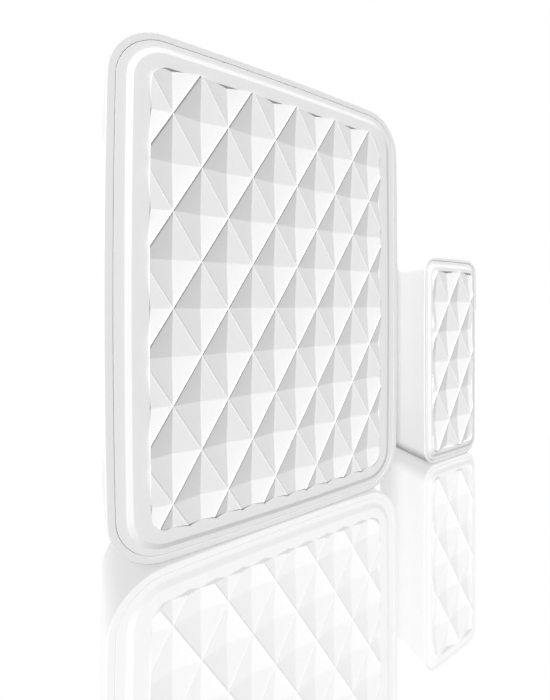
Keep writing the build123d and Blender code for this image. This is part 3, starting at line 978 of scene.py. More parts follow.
@dataclass(frozen=True)
class Section:
    """The moulded section that both units share, in millimetres."""

    # Back and foam pad.
    pad_proud: float = 0.8
    pad_thickness: float = 1.2
    pad_play: float = 0.4
    pad_corner: float = 2.0
    pad_edge: float = 0.12
    pad_draw: float = 0.02
    pad_waist: float = 0.07
    # Tray.
    floor: float = TRAY_FLOOR
    foot_blend: float = 0.5
    foot_bend: float = 0.15
    draft: float = 0.25
    back_edge: float = 0.8
    rim_edge: float = 0.2
    recess_corner: float = 0.3
    recess_edge: float = 0.08
    pocket_edge: float = 0.03
    ledge_edge: float = 0.1
    # Cover.
    channel_depth: float = 0.35
    bevel_edge: float = 0.08
    bevel_share: float = 0.08
    bevel_sink: float = 0.04
    bevel_lift: float = 0.05
    cover_thickness: float = 1.1
    cover_edge: float = 0.06
    cover_gap: float = 0.05
    cover_skirt: float = 0.035
    groove_depth: float = 0.1
    groove_slope: float = 0.02
    hollow_blend: float = 0.3
    # Tongue and barbs.
    tongue_depth: float = 1.9
    tongue_edge: float = 0.25
    tongue_inner_edge: float = 0.1
    tongue_gap: float = 0.25
    barb_proud: float = 0.18
    barb_length: float = 6.0
    barb_root: float = 0.1
    # Heights above the tongue's end: the ramp's foot and top, and the catch.
    barb_rise: Point = (0.1, 0.35, 0.6)
    # Pry slot and screw holes.
    pry_length: float = 8.0
    pry_height: float = 0.9
    pry_drop: float = 0.6
    screw_radius: float = 1.7
    hole_run: float = 0.1
    back_flare: float = 0.3
    back_flare_depth: float = 0.15
    inner_flare: float = 0.4
    inner_flare_depth: float = 0.3
    # Diamond relief: the lattice, then a facet's section as distance from the ridge and depth.
    diamond_width: float = 7.97
    diamond_height: float = 13.2
    lattice_parity: float = 1.0
    relief_depth: float = 0.69
    relief_rise: float = 0.42
    ridge_flat: float = 0.04
    ridge_flank: float = 0.17
    flank_fall: float = 0.11
    facet_bend: float = 1.3
    bend_fall: float = 0.35
    crease_margin: float = 0.01
    crease_depth: float = 0.5


@dataclass
class Housing:
    """One unit's tray, cover and foam pad."""

    tray_node: str
    cover_node: str
    pad_node: str
    tray_body: str
    cover_body: str
    centre: Pair
    face: float
    body: Outline
    cover: Outline
    bevel_foot: Outline
    bevel_top: Outline
    relief: Outline
    ledge_width: float
    tongue_thickness: float
    row_offset: float
    pad_size: Pair
    screw_spacing: float
    section: Section = field(default_factory=Section)

    @property
    def rim(self) -> float:
        """The height of the tray's front edge, flush with the channel round the raised plate."""
        return self.face - self.section.channel_depth

    @property
    def ledge(self) -> float:
        """The height of the ledge that the cover rests on."""
        return self.rim - self.section.cover_thickness

    @property
    def well(self) -> Outline:
        """The outline of the hollow below the ledge."""
        return self.cover.inset(self.ledge_width)

    @property
    def tongue(self) -> Outline:
        """The outer outline of the cover's tongue."""
        return self.well.inset(self.section.tongue_gap)

    @property
    def tongue_end(self) -> float:
        """The height that the cover's tongue reaches down to."""
        return self.ledge - self.section.tongue_depth

    def build(self) -> None:
        """Build the tray, the cover with its barbs and the pad."""
        self.tray()
        self.front()
        self.barbs()
        self.pad()

    def rings(self, steps: list[tuple[float, Outline]]) -> list[Ring]:
        """Return rings about this unit's centre from pairs of height and outline."""
        return [outline.ring(height, self.centre) for height, outline in steps]

    def rounded(
        self, outline: Outline, height: float, size: float, rise: int = 1, steps: int = 4
    ) -> list[tuple[float, Outline]]:
        """Return the steps of a rounded outer edge.

        Args:
            outline: The outline at the edge's foot.
            height: The height of the flat that the edge ends at.
            size: The rounding's radius.
            rise: 1 where the flat is in front of the wall below it, -1 where it is behind.
            steps: Steps across it.

        Returns:
            Pairs of height and outline, from the foot to the flat.
        """
        arc = arc_steps(steps)
        return [(height - rise * size * (1 - up), outline.inset(size * back)) for back, up in arc]

    def tray(self) -> None:
        """Build the open tray: pad recess, drafted walls, rim, cover pocket, ledge and well."""
        s, rim, ledge, well = self.section, self.rim, self.ledge, self.well
        recess = Outline(self.pad_size[0] + s.pad_play, self.pad_size[1] + s.pad_play, s.recess_corner)
        pocket = self.cover.inset(-s.cover_gap)
        steps = [(s.pad_thickness, recess), (s.pad_proud + s.recess_edge, recess)]
        steps += [(s.pad_proud, recess.inset(-s.recess_edge))]
        steps += self.rounded(self.body.inset(s.draft), s.pad_proud, s.back_edge, -1, 6)[::-1]
        steps += self.rounded(self.body, rim, s.rim_edge)
        steps += [(rim, pocket.inset(-s.pocket_edge)), (rim - s.pocket_edge, pocket), (ledge, pocket)]
        steps += [(ledge, well.inset(-s.ledge_edge)), (ledge - s.ledge_edge, well)]
        steps += [(s.floor + s.foot_blend, well), (s.floor + s.foot_bend, well.inset(s.foot_bend))]
        steps += [(s.floor, well.inset(s.foot_blend))]
        shell = Draft().loft(self.rings(steps)).settle("shell", Stock.HOUSING, body=None)
        x, z = self.centre
        back, radius = s.pad_proud, s.screw_radius
        hole = [(back - s.hole_run, radius + s.back_flare), (back + s.back_flare_depth, radius)]
        hole += [(s.floor - s.inner_flare_depth, radius), (s.floor + s.hole_run, radius + s.inner_flare)]
        for side in (-1, 1):
            drill = Draft().lathe(hole, centre=(x, 0.0, z + side * self.screw_spacing / 2))
            carve(shell, drill.settle("hole", Stock.HOUSING, body=None))
        wall = z - (self.cover.height + self.body.height) / 4
        depth = 2 * (self.body.height - self.cover.height)
        low = ledge - s.pry_drop
        slot = Draft().brick(x, wall, s.pry_length, depth, low, low + s.pry_height)
        carve(shell, slot.settle("slot", Stock.HOUSING, body=None))
        mesh = shell.data
        bpy.data.objects.remove(shell)
        piece = settle_mesh(mesh, f"{self.tray_node}_shell", Stock.HOUSING, body=self.tray_body)
        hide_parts(self.tray_node)

    def cover_steps(self) -> list[tuple[float, Outline]]:
        """Work out the cover's section.

        Returns:
            Pairs of height and outline, from the bevel's top edge round to the hollow behind.
        """
        s, rim, ledge, tongue, end = self.section, self.rim, self.ledge, self.tongue, self.tongue_end
        inner = tongue.inset(self.tongue_thickness)
        steps = [(self.face, self.bevel_top.inset(s.bevel_edge))]
        steps += [(self.face - s.bevel_sink, self.between(s.bevel_share))]
        steps += [(rim + s.bevel_lift, self.between(1 - s.bevel_share))]
        steps += [(rim, self.bevel_foot.inset(-s.bevel_edge))]
        steps += self.rounded(self.cover, rim, s.cover_edge)[::-1]
        skirt, groove = self.cover.inset(-s.cover_skirt), rim - s.groove_depth
        steps += [(groove, self.cover), (groove - s.groove_slope, skirt), (ledge + s.cover_edge, skirt)]
        steps += [(ledge, self.cover.inset(s.cover_edge)), (ledge, tongue), (end + s.tongue_edge, tongue)]
        steps += [(end, tongue.inset(s.tongue_edge)), (end, inner.inset(-s.tongue_inner_edge))]
        steps += [(end + s.tongue_inner_edge, inner), (ledge - s.hollow_blend, inner)]
        return steps + [(ledge, inner.inset(s.hollow_blend))]

    def between(self, share: float) -> Outline:
        """Return the bevel's outline at a share of its way down from the top."""
        sizes = zip(astuple(self.bevel_foot), astuple(self.bevel_top))
        return Outline(*(high + (low - high) * share for low, high in sizes))

    def relief_sheet(self) -> bpy.types.Mesh:
        """Tile a sheet with inverted pyramids.

        Returns:
            The sheet's mesh, which is larger than the relief.
        """
        s = self.section
        half_width, half_height = s.diamond_width / 2, s.diamond_height / 2
        inradius = half_width * half_height / math.hypot(half_width, half_height)
        steps = [(0.0, 0.0), (s.ridge_flat, 0.0), (s.ridge_flat + s.ridge_flank, s.flank_fall)]
        steps += [(s.facet_bend, s.bend_fall), (inradius, s.relief_depth)]
        rings = []
        for inward, sunk in steps:
            across, up = ((1 - inward / inradius) * half for half in (half_width, half_height))
            turns = (0.0, math.pi / 2, math.pi, 3 * math.pi / 2)
            rings.append([(across * math.cos(turn), -sunk, up * math.sin(turn)) for turn in turns])
        tile = Draft().loft(rings, False).settle("tile", Stock.COVER, body=None)
        place = (self.centre[0] + half_width / 2, self.face + s.relief_rise, self.centre[1] + self.row_offset)
        values = {
            "Tile": tile,
            "Half Width": half_width * MM,
            "Half Height": half_height * MM,
            "Columns": 2 * math.ceil(self.relief.width / s.diamond_width + 1) + 1,
            "Rows": 2 * math.ceil(self.relief.height / s.diamond_height + 1) + 1,
            "Parity": s.lattice_parity,
            "Place": in_frame([place])[0],
            "Material": Stock.COVER.material(),
        }
        mesh = grown(relief_tree(), bpy.data.meshes.new("sheet"), values, "sheet")
        bpy.data.objects.remove(tile)
        return mesh

    def walled_relief(self, trim: Ring) -> bpy.types.Mesh:
        """Trim the relief's sheet and raise or lower a wall from its border to the plate.

        Args:
            trim: The outline that it is trimmed to.

        Returns:
            The relief and its wall.
        """
        work = bmesh.new()
        work.from_mesh(self.relief_sheet())
        for start, end in zip(trim, trim[1:] + trim[:1]):
            bmesh.ops.bisect_plane(
                work,
                geom=work.verts[:] + work.edges[:] + work.faces[:],
                dist=BISECT_MM * MM,
                plane_co=Vector((start[0], -start[1], start[2])) * MM,
                plane_no=Vector((end[2] - start[2], 0.0, start[0] - end[0])),
                clear_outer=True,
            )
        bmesh.ops.remove_doubles(work, verts=work.verts, dist=TRIM_MERGE_MM * MM)
        front = -self.face * MM
        for edge in [edge for edge in work.edges if edge.is_boundary]:
            near, far = (vertex.co.y - front for vertex in edge.verts)
            if near * far < 0:
                bmesh.utils.edge_split(edge, edge.verts[0], near / (near - far))
        border = [edge for edge in work.edges if edge.is_boundary]
        wall = bmesh.ops.extrude_edge_only(work, edges=border)
        for item in wall["geom"]:
            if isinstance(item, bmesh.types.BMVert):
                item.co.y = front
        bmesh.ops.remove_doubles(work, verts=work.verts, dist=TRIM_MERGE_MM * MM)
        mesh = bpy.data.meshes.new(self.cover_node)
        work.to_mesh(mesh)
        work.free()
        return mesh

    def front(self) -> None:
        """Build the cover: the walled relief, the plate round it and the section behind."""
        mesh = self.walled_relief(self.relief.ring(self.face, self.centre))
        rings = self.rings(self.cover_steps())
        draft = Draft().loft(rings, False)
        size, total = len(rings[-1]), len(draft.points)
        draft.faces.append(tuple(range(total - size, total)))
        work = bmesh.new()
        work.from_mesh(mesh)
        work.from_mesh(draft.mesh("section"))
        loops = [edge for edge in work.edges if edge.is_boundary]
        bmesh.ops.triangle_fill(work, use_beauty=True, use_dissolve=False, edges=loops, normal=(0, -1, 0))
        work.to_mesh(mesh)
        work.free()
        piece = settle_mesh(mesh, f"{self.cover_node}_relief", Stock.COVER, body=self.cover_body)
        self.crease(mesh)
        self.polish(mesh)
        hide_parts(self.cover_node)

    def polish(self, mesh: bpy.types.Mesh) -> None:
        """Give the crests between the pits a glossier finish, whose nearly white colour is a painted
        highlight along the ridges.

        Args:
            mesh: The cover's mesh.
        """
        # The crests' nearly white colour is a painted highlight; only their lower roughness is a real gloss.
        mesh.materials.append(Stock.POLISHED.material())
        for polygon, mark in zip(mesh.polygons, mesh.attributes[CREST].data):
            if mark.value and polygon.normal.y < CREST_NORMAL:
                polygon.material_index = 1
        mesh.attributes.remove(mesh.attributes[CREST])

    def crease(self, mesh: bpy.types.Mesh) -> None:
        """Keep the creases between the facets sharp.

        Args:
            mesh: The cover's mesh.
        """
        margin = self.section.crease_margin
        work = bmesh.new()
        work.from_mesh(mesh)
        reach_x, reach_z = (size / 2 * MM + margin * MM for size in (self.relief.width, self.relief.height))
        deepest = -(self.rim - self.section.crease_depth) * MM
        for edge in work.edges:
            inside = all(
                abs(v.co.x - self.centre[0] * MM) < reach_x
                and abs(v.co.z - self.centre[1] * MM) < reach_z
                and v.co.y < deepest
                for v in edge.verts
            )
            if inside and edge.is_manifold:
                edge.smooth = edge.calc_face_angle() < math.radians(CREASE_DEG)
        work.to_mesh(mesh)
        work.free()

    def barbs(self) -> None:
        """Build the four snap barbs on the tongue's long sides."""
        s, tongue, root = self.section, self.tongue, self.section.barb_root
        half, (foot, ramp_top, catch) = s.barb_length / 2, s.barb_rise
        draft = Draft()
        for side, along in product((-1, 1), (-1, 1)):
            x = self.centre[0] + side * (tongue.width / 2 - tongue.bow / 4 - root)
            z = self.centre[1] + along * self.well.height / 4
            reach = side * (s.barb_proud + root)
            wedge = [(0.0, foot), (reach, ramp_top), (reach, catch), (0.0, s.tongue_depth / 2)]
            ends = (z - half, z + half)
            draft.loft([[(x + dx, self.tongue_end + dh, end) for dx, dh in wedge] for end in ends])
        draft.settle(f"{self.cover_node}_barbs", Stock.COVER, body=self.cover_body)

    def pad(self) -> None:
        """Build the die-cut foam pad of the back, whose sides draw in a little between the faces."""
        s, top, edge = self.section, self.section.pad_thickness, self.section.pad_edge
        outline = Outline(*self.pad_size, s.pad_corner)
        steps = [(0.0, edge), (edge, s.pad_draw), (0.5 * top, s.pad_waist), (top - edge, s.pad_draw)]
        steps += [(top, edge)]
        draft = Draft().loft(self.rings([(height, outline.inset(inward)) for height, inward in steps]))
        piece = draft.settle(f"{self.pad_node}_foam", Stock.FOAM, body=self.tray_body)
        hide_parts(self.pad_node)


SENSOR = Housing(
    tray_node="back_housing",
    cover_node="front_cover",
    pad_node="sensor_adhesive_pad",
    tray_body=SENSOR_BASE,
    cover_body="front_cover",
    centre=(0.0, 0.0),
    face=16.0,
    body=Outline(52.7, 72.0, 7.5, 0.5),
    cover=Outline(50.4, 69.8, 6.4, 0.45),
    bevel_foot=Outline(47.8, 68.0, 5.3, 0.35),
    bevel_top=Outline(46.2, 66.4, 4.5, 0.35),
    relief=Outline(41.8, 62.6, 2.6, 0.25),
    ledge_width=0.9,
    tongue_thickness=1.0,
    row_offset=-1.37,
    pad_size=(40.0, 48.0),
    screw_spacing=59.0,
)

# The magnet unit's relief is cut steeper, because its facets mirror the white room at that angle.
MAGNET = Housing(
    tray_node="magnet_base",
    cover_node="magnet_cover",
    pad_node="magnet_adhesive_pad",
    tray_body="magnet_base",
    cover_body="magnet_cover",
    centre=(45.6, -13.15),
    face=14.7,
    body=Outline(19.0, 45.7, 3.4, 0.18),
    cover=Outline(17.7, 44.0, 2.7, 0.16),
    bevel_foot=Outline(16.9, 42.5, 2.2, 0.14),
    bevel_top=Outline(15.6, 41.2, 1.6, 0.14),
    relief=Outline(14.4, 39.6, 1.0, 0.1),
    ledge_width=0.7,
    tongue_thickness=0.8,
    row_offset=-0.3,
    pad_size=(14.0, 26.0),
    screw_spacing=36.4,
    section=Section(
        relief_depth=0.76,
        relief_rise=0.36,
        flank_fall=0.125,
        bend_fall=0.39,
        cover_gap=0.08,
        groove_depth=0.16,
    ),
)


# Inside the housings


@dataclass
class SensorBay:
    """The moulded bay, posts and rests inside the sensor unit's tray."""

    centre_x: float = -12.7
    width: float = 22.6
    wall_z: float = 25.2
    wall_thickness: float = 1.2
    wall_top: float = 11.0
    saddle_z: float = 13.0
    saddle_thickness: float = 1.5
    saddle_top: float = 5.4
    cell_cut: float = 5.35
    cut_steps: int = 16
    divider_x: float = -1.0
    divider_size: Pair = (1.0, 48.0)
    divider_top: float = 8.0
    board_underside: float = 5.2
    rests: Profile = ((21.2, 22.0), (21.2, -22.0), (3.6, -22.0))
    rest_size: Pair = (4.0, 1.4)
    # The posts as height and radius: foot and bore from the tray's floor, head from the board's
    # underside.
    post_foot: Profile = ((-0.2, 2.7), (0.0, 2.5), (0.5, 2.25))
    post_head: Profile = ((-0.15, 2.2), (0.0, 2.05), (0.0, 1.0), (-0.15, 0.85))
    post_bore: Profile = ((0.6, 0.85), (0.4, 0.1))
    mark: Profile = ((-0.1, 1.6), (0.02, 1.6), (0.05, 1.5), (0.05, 0.1))
    mark_x: tuple[float, ...] = (-21.0, -4.4, 8.0, 19.5)
    mark_z: Pair = (-28.5, 28.5)
    low: float = TRAY_FLOOR - ROOT

    def build(self) -> None:
        """Build the bay's walls, the posts and the round marks that the ejector pins leave."""
        low, half = self.low, self.saddle_thickness / 2
        walls = Draft()
        for end in (-1, 1):
            z = end * self.saddle_z
            walls.brick(self.centre_x, end * self.wall_z, self.width, self.wall_thickness, low, self.wall_top)
            walls.prism(self.saddle(), "z", z - half, z + half)
        walls.brick(self.divider_x, 0.0, *self.divider_size, low, self.divider_top)
        for x, z in self.rests:
            walls.brick(x, z, *self.rest_size, low, self.board_underside)
        walls.settle("back_housing_bay", Stock.HOUSING, 0.15)
        levels = (
            (TRAY_FLOOR, self.post_foot),
            (self.board_underside, self.post_head),
            (TRAY_FLOOR, self.post_bore),
        )
        post = [(level + up, radius) for level, profile in levels for up, radius in profile]
        scatter(Draft().lathe(post), SCREW_PLACES, 0.0, "back_housing_posts", Stock.HOUSING)
        spots = product(self.mark_x, self.mark_z)
        disc = Draft().lathe(self.mark, 24)
        scatter(disc, spots, TRAY_FLOOR, "back_housing_ejector_marks", Stock.HOUSING)

    def saddle(self) -> list[Pair]:
        """Work out the saddle's section: a low wall with a round seat for each cell.

        Returns:
            The section's corners as x and height.
        """
        left, right = self.centre_x - self.width / 2, self.centre_x + self.width / 2
        reach = math.acos((CELL_HEIGHT - self.saddle_top) / self.cell_cut)
        turns = [reach * (step / (self.cut_steps / 2) - 1) for step in range(self.cut_steps + 1)]
        points = [(left, self.low), (left, self.saddle_top)]
        for x, turn in product(CELL_X, turns):
            points.append((x + self.cell_cut * math.sin(turn), CELL_HEIGHT - self.cell_cut * math.cos(turn)))
        return points + [(right, self.saddle_top), (right, self.low)]


@dataclass
class CoverFittings:
    """The stiffening ribs behind the sensor unit's cover and the post that holds a switch down."""

    body: str = "front_cover"
    ledge: float = 14.55
    rib_width: float = 0.9
    rib_depth: float = 0.7
    rib_step: float = 0.12
    rib_span: Pair = (46.2, 65.6)
    rib_z: Pair = (-28.0, 28.0)
    rib_x: float = 12.5
    post: Pair = (11.0, 20.0)
    post_side: float = 2.4
    post_end: float = 11.05
    gusset_foot: float = 1.3
    gusset_drop: float = 1.2
    gusset_half: float = 0.35
    mark: Profile = ((0.1, 1.4), (-0.02, 1.4), (-0.05, 1.3), (-0.05, 0.1))
    mark_x: Point = (-18.0, 0.0, 19.0)
    mark_z: Point = (-24.0, 0.0, 24.0)

    def build(self) -> None:
        """Build the ribs, the post with its gussets and the ejector marks."""
        low, high = self.ledge - self.rib_depth, self.ledge + ROOT
        ribs = Draft()
        for z in self.rib_z:
            ribs.brick(0.0, z, self.rib_span[0], self.rib_width, low, high)
        ribs.brick(self.rib_x, 0.0, self.rib_width, self.rib_span[1], low + self.rib_step, high)
        x, z = self.post
        ribs.brick(x, z, self.post_side, self.post_side, self.post_end, high)
        half = self.post_side / 2
        for side in (-1, 1):
            near, far = z + side * half, z + side * (half + self.gusset_foot)
            slope = [(near, high), (near, self.post_end + self.gusset_drop), (far, high)]
            ribs.prism(slope, "x", x - self.gusset_half, x + self.gusset_half)
        ribs.settle("front_cover_ribs", Stock.COVER, 0.1, self.body)
        spots = product(self.mark_x, self.mark_z)
        disc = Draft().lathe(self.mark, 24)
        scatter(disc, spots, self.ledge, "front_cover_ejector_marks", Stock.COVER, body=self.body)


@dataclass
class MagnetCradle:
    """The clamping walls and the bar magnet inside the magnet unit."""

    body: str = "magnet_base"
    centre: Pair = (43.6, -13.15)
    bar_width: float = 8.0
    bar_length: float = 29.0
    wall: float = 0.8
    wall_half: float = 2.5
    ramp: Pair = (0.3, 0.5)
    gap: float = 0.08
    top: float = 5.5

    def build(self) -> None:
        """Build the cradle walls with their ramped tops, and dress the magnet."""
        walls = Draft()
        inner, low = self.bar_width / 2 + self.gap, TRAY_FLOOR - ROOT
        for side in (-1, 1):
            near, far = self.centre[0] + side * inner, self.centre[0] + side * (inner + self.wall)
            section = [(near, low), (near, self.top - self.ramp[1]), (near + side * self.ramp[0], self.top)]
            section += [(far, self.top), (far, low)]
            for end in (-1, 1):
                z = self.centre[1] + end * self.bar_length / 3
                walls.prism(section, "z", z - self.wall_half, z + self.wall_half)
        walls.settle("magnet_base_cradle", Stock.HOUSING, 0.08, self.body)
        refined("bar_magnet", Stock.MAGNET, 0.12, self.body)


@dataclass
class CircuitBoard:
    """The main board: copper, solder mask, printed outlines and holes."""

    width: float = 22.6
    length: float = 49.0
    centre_x: float = 12.5
    copper: float = 0.035
    ink: float = 0.02
    ink_line: float = 0.13
    ink_corner: float = 0.15
    line: float = 0.3
    bus_start: float = 12.6
    bus_pitch: float = 0.6
    bus_lines: int = 7
    bus_run: Pair = (-7.2, -10.1)
    edge: float = 0.7
    via_pitch: float = 2.3
    via_rows: int = 10
    via_columns: tuple[int, int] = (2, 9)
    via_shift: float = 1.9
    land: Outline = Outline(3.9, 3.9, 1.9)
    hole_share: float = 0.58
    via: Profile = ((0.0, 0.28), (0.05, 0.26), (0.05, 0.12), (0.0, 0.08))
    test_point: Profile = ((0.0, 0.6), (0.05, 0.57), (0.05, 0.05))
    test_places: Profile = (
        (5.2, -20.4), (6.9, -20.4), (8.6, -20.4), (16.4, -21.4), (18.1, -21.4), (19.8, -21.4),
    )
    routes: tuple[Profile, ...] = (
        ((17.2, -12.6), (19.6, -12.6), (20.2, -13.2), (20.2, -20.5), (21.0, -21.3)),
        ((17.2, -11.8), (19.7, -11.8), (20.2, -11.3), (20.2, -5.6), (21.0, -5.0)),
        ((21.4, -4.2), (21.4, 6.2)),
        ((21.4, 9.6), (21.4, 16.6), (19.6, 18.4), (17.6, 18.4)),
        ((22.6, 9.4), (22.6, 20.6), (20.4, 22.8), (7.4, 22.8)),
        ((1.9, -20.4), (1.9, 17.6), (3.2, 18.9), (5.0, 18.9)),
        ((2.5, -6.4), (2.5, 15.4), (3.6, 16.5), (7.2, 16.5), (7.9, 17.2)),
        ((10.8, -13.8), (11.9, -13.8)),
        ((10.8, -18.2), (13.2, -18.2), (14.0, -17.6)),
        ((4.2, -18.2), (2.9, -19.5), (2.9, -22.4), (3.9, -23.4), (9.6, -23.4)),
        ((15.4, -23.4), (20.6, -23.4), (22.8, -21.2), (22.8, -4.4), (22.2, -3.8), (22.2, 6.2)),
        ((16.6, -15.2), (16.6, -16.9)),
        ((9.6, -10.6), (9.6, -9.0), (10.2, -8.4), (10.2, -7.2)),
        ((19.2, 13.4), (20.4, 14.6), (20.4, 16.2)),
    )
    # The printed outlines' middles and sizes: chip, crystal, two switches, light and reed switch.
    outlines: tuple[tuple[float, float, float, float], ...] = (
        (14.5, -12.6, 6.2, 6.2),
        (15.6, -17.6, 4.0, 2.3),
        (7.5, -16.0, 7.9, 6.5),
        (11.0, 20.0, 7.9, 6.5),
        (21.3, 8.0, 2.0, 3.6),
        (21.4, -13.15, 2.7, 14.0),
    )

    def build(self) -> None:
        """Build the board and everything printed or plated on it."""
        refined("main_board", Stock.BOARD, 0.06)
        bus = [self.bus_start + self.bus_pitch * i for i in range(self.bus_lines)]
        lines = [*self.routes, *(tuple((x, z) for z in self.bus_run) for x in bus)]
        ribbons(lines, self.line, self.copper, BOARD_TOP, "main_board_traces", Stock.TRACE)
        self.plated()
        frames = Draft()
        for x, z, width, length in self.outlines:
            outer = Outline(width, length, self.ink_corner)
            rings = [outline.ring(0.0, (x, z), 1, 1) for outline in (outer, outer.inset(self.ink_line))]
            frames.band(*rings, BOARD_TOP, BOARD_TOP + self.ink)
        frames.settle("main_board_outlines", Stock.INK)

    def plated(self) -> None:
        """Build the plated rings, vias and test points."""
        ring = self.land.ring(0.0, (0.0, 0.0), 2, 8)
        hole = [(self.hole_share * x, h, self.hole_share * z) for x, h, z in ring]
        washer = Draft().band(ring, hole, 0.0, self.copper)
        scatter(washer, SCREW_PLACES, BOARD_TOP, "main_board_screw_lands", Stock.COPPER)
        right, top = self.centre_x + self.width / 2 - self.edge, self.length / 2 - self.edge
        rows, columns = range(-self.via_rows, self.via_rows + 1), range(*self.via_columns)
        spots = [(right, z * self.via_pitch) for z in rows]
        spots += [(x * self.via_pitch + self.via_shift, side * top) for x in columns for side in (-1, 1)]
        spots += [route[0] for route in self.routes[4:]]
        scatter(Draft().lathe(self.via, 14), spots, BOARD_TOP, "main_board_vias", Stock.TIN)
        point = Draft().lathe(self.test_point, 20)
        scatter(point, self.test_places, BOARD_TOP, "main_board_test_points", Stock.COPPER)


@dataclass
class BoardScrew:
    """A pan head screw with a cross recess, held by the tray's posts."""

    # Tip and head as height and radius.
    tip: Profile = ((-4.0, 0.1), (-3.6, 0.5))
    head: Profile = (
        (0.0, 0.7), (0.0, 1.72), (0.08, 1.8), (0.55, 1.8), (0.9, 1.62), (1.14, 1.26), (1.27, 0.756),
        (1.3, 0.05),
    )
    # One turn of the thread, and where the first starts.
    turn: Profile = ((0.0, 0.67), (0.2, 0.85), (0.28, 0.85))
    thread_start: float = -3.5
    thread_pitch: float = 0.5
    turns: int = 7
    cross: Pair = (2.0, 0.42)
    cross_heights: Pair = (0.6, 2.0)

    def build(self) -> None:
        """Build one screw, cut its recess and set it at both places."""
        starts = [self.thread_start + self.thread_pitch * turn for turn in range(self.turns)]
        thread = [(start + up, radius) for start in starts for up, radius in self.turn]
        screw = Draft().lathe([*self.tip, *thread, *self.head], 40).settle("screw", Stock.ZINC, body=None)
        for width, length in (self.cross, self.cross[::-1]):
            cross = Draft().brick(0.0, 0.0, width, length, *self.cross_heights)
            carve(screw, cross.settle("cross", Stock.ZINC, body=None))
        piece = scatter(screw, SCREW_PLACES, BOARD_TOP, "board_screws_cross_head", Stock.ZINC)
        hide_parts("board_screws")


@dataclass
class ReedSwitch:
    """The reed switch: a glass tube with two overlapping blades, on bent leads."""

    x: float = 21.4
    z: float = -13.15
    height: float = 8.4
    radius: float = 1.0
    length: float = 13.0
    span: float = 8.2
    overlap: float = 0.7
    blade_gap: float = 0.09
    blade_size: Pair = (0.35, 0.06)
    seal: Profile = ((0.0, 0.28), (0.06, 0.55), (0.3, 0.82), (0.7, 0.96), (1.1, 1.0))
    cone: Profile = ((0.0, 0.85), (0.08, 0.78), (0.3, 0.5), (0.6, 0.34), (0.8, 0.3))

    def build(self) -> None:
        """Build the tube, the blades, the leads and their solder."""
        half = self.length / 2
        profile = [(drop - half, self.radius * share) for drop, share in self.seal]
        profile += [(-along, radius) for along, radius in reversed(profile)]
        tube = Draft().lathe(profile, 40, (self.x, self.height, self.z), upright=True)
        piece = tube.settle("reed_glass_tube", Stock.GLASS)
        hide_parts("reed_glass")
        blades = Draft()
        across, up = self.blade_size
        for end in (-1, 1):
            level = self.height + end * self.blade_gap
            corners = ((-across, -up), (across, -up), (across, up), (-across, up))
            section = [(self.x + dx, level + dh) for dx, dh in corners]
            blades.prism(section, "z", *sorted((self.z - end * self.overlap, self.z + end * half)))
        blades.settle("reed_blades", Stock.NICKEL, 0.03)
        refined("reed_leads", Stock.TIN, 0.2)
        spots = [(self.x, self.z + end * self.span) for end in (-1, 1)]
        scatter(Draft().lathe(self.cone, 24), spots, BOARD_TOP, "reed_solder", Stock.TIN)


@dataclass
class RadioModule:
    """The radio module: a small board with edge contacts, a stamped can and a printed aerial."""

    x: float = 11.0
    z: float = 4.0
    top: float = 7.6
    half_width: float = 8.0
    rows_drop: float = 3.0
    pitch: float = 2.0
    contacts: int = 6
    land_inset: float = 0.85
    land: Point = (1.0, 1.1, 0.03)
    chip: Point = (0.5, 1.0, 0.35)
    chips: Profile = ((-5.5, 4.5), (-4.3, 4.5), (5.6, 4.5))
    can: Outline = Outline(12.6, 13.0, 0.7)
    can_drop: float = 3.2
    can_height: float = 1.9
    can_edge: float = 0.4
    foot_step: float = 0.06
    foot_rise: Pair = (0.25, 0.3)
    # The raised panel as depth below the top and distance inwards.
    panel: Profile = ((0.0, 1.3), (0.08, 1.45), (0.08, 2.2), (0.0, 2.35), (0.0, 3.5))
    # The corner seams' size, and how far inside the can's outline their middles lie.
    seam: Pair = (0.5, 0.16)
    seam_drop: float = 0.5
    seam_inset: Pair = (0.16, 1.0)
    bead: Profile = ((0.0, 0.62), (0.1, 0.6), (0.45, 0.42), (0.7, 0.3), (0.82, 0.15), (0.84, 0.03))

    def build(self) -> None:
        """Build the board, its contacts, the can and the aerial."""
        refined("radio_module_board", Stock.RADIO_BOARD, 0.03)
        middle = (self.contacts - 1) / 2
        rows = [self.z - self.rows_drop + self.pitch * (i - middle) for i in range(self.contacts)]
        edges = [self.x + side * self.half_width for side in (-1, 1)]
        bead = Draft().lathe(self.bead, 20)
        scatter(bead, product(edges, rows), BOARD_TOP, "radio_solder", Stock.TIN)
        edges = [self.x + side * (self.half_width - self.land_inset) for side in (-1, 1)]
        land = block(*self.land)
        scatter(land, product(edges, rows), self.top, "radio_lands", Stock.COPPER)
        self.shield()
        refined("printed_antenna", Stock.COPPER, 0.03)
        spots = [(self.x + dx, self.z + dz) for dx, dz in self.chips]
        scatter(block(*self.chip), spots, self.top, "radio_chips", Stock.CERAMIC, 0.05)

    def shield(self) -> None:
        """Build the can with a raised panel, rounded edges and corner seams."""
        x, z = self.x, self.z - self.can_drop
        low, high, step, edge = self.top, self.top + self.can_height, self.foot_step, self.can_edge
        steps = [(low, 0.0), (low + self.foot_rise[0], 0.0), (low + self.foot_rise[1], step)]
        steps += [(high - edge * (1 - up), step + edge * back) for back, up in arc_steps(5)]
        steps += [(high - down, inward) for down, inward in self.panel]
        draft = Draft().loft([self.can.inset(inward).ring(height, (x, z), 2, 5) for height, inward in steps])
        piece = draft.settle("radio_shield_can", Stock.SHIELD)
        wide, tall = self.can.width / 2 - self.seam_inset[0], self.can.height / 2 - self.seam_inset[1]
        spots = product((x - wide, x + wide), (z - tall, z + tall))
        seam = block(*self.seam, self.can_height - self.seam_drop)
        scatter(seam, spots, self.top, "radio_shield_seams", Stock.SWITCH)
        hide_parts("radio_shield")


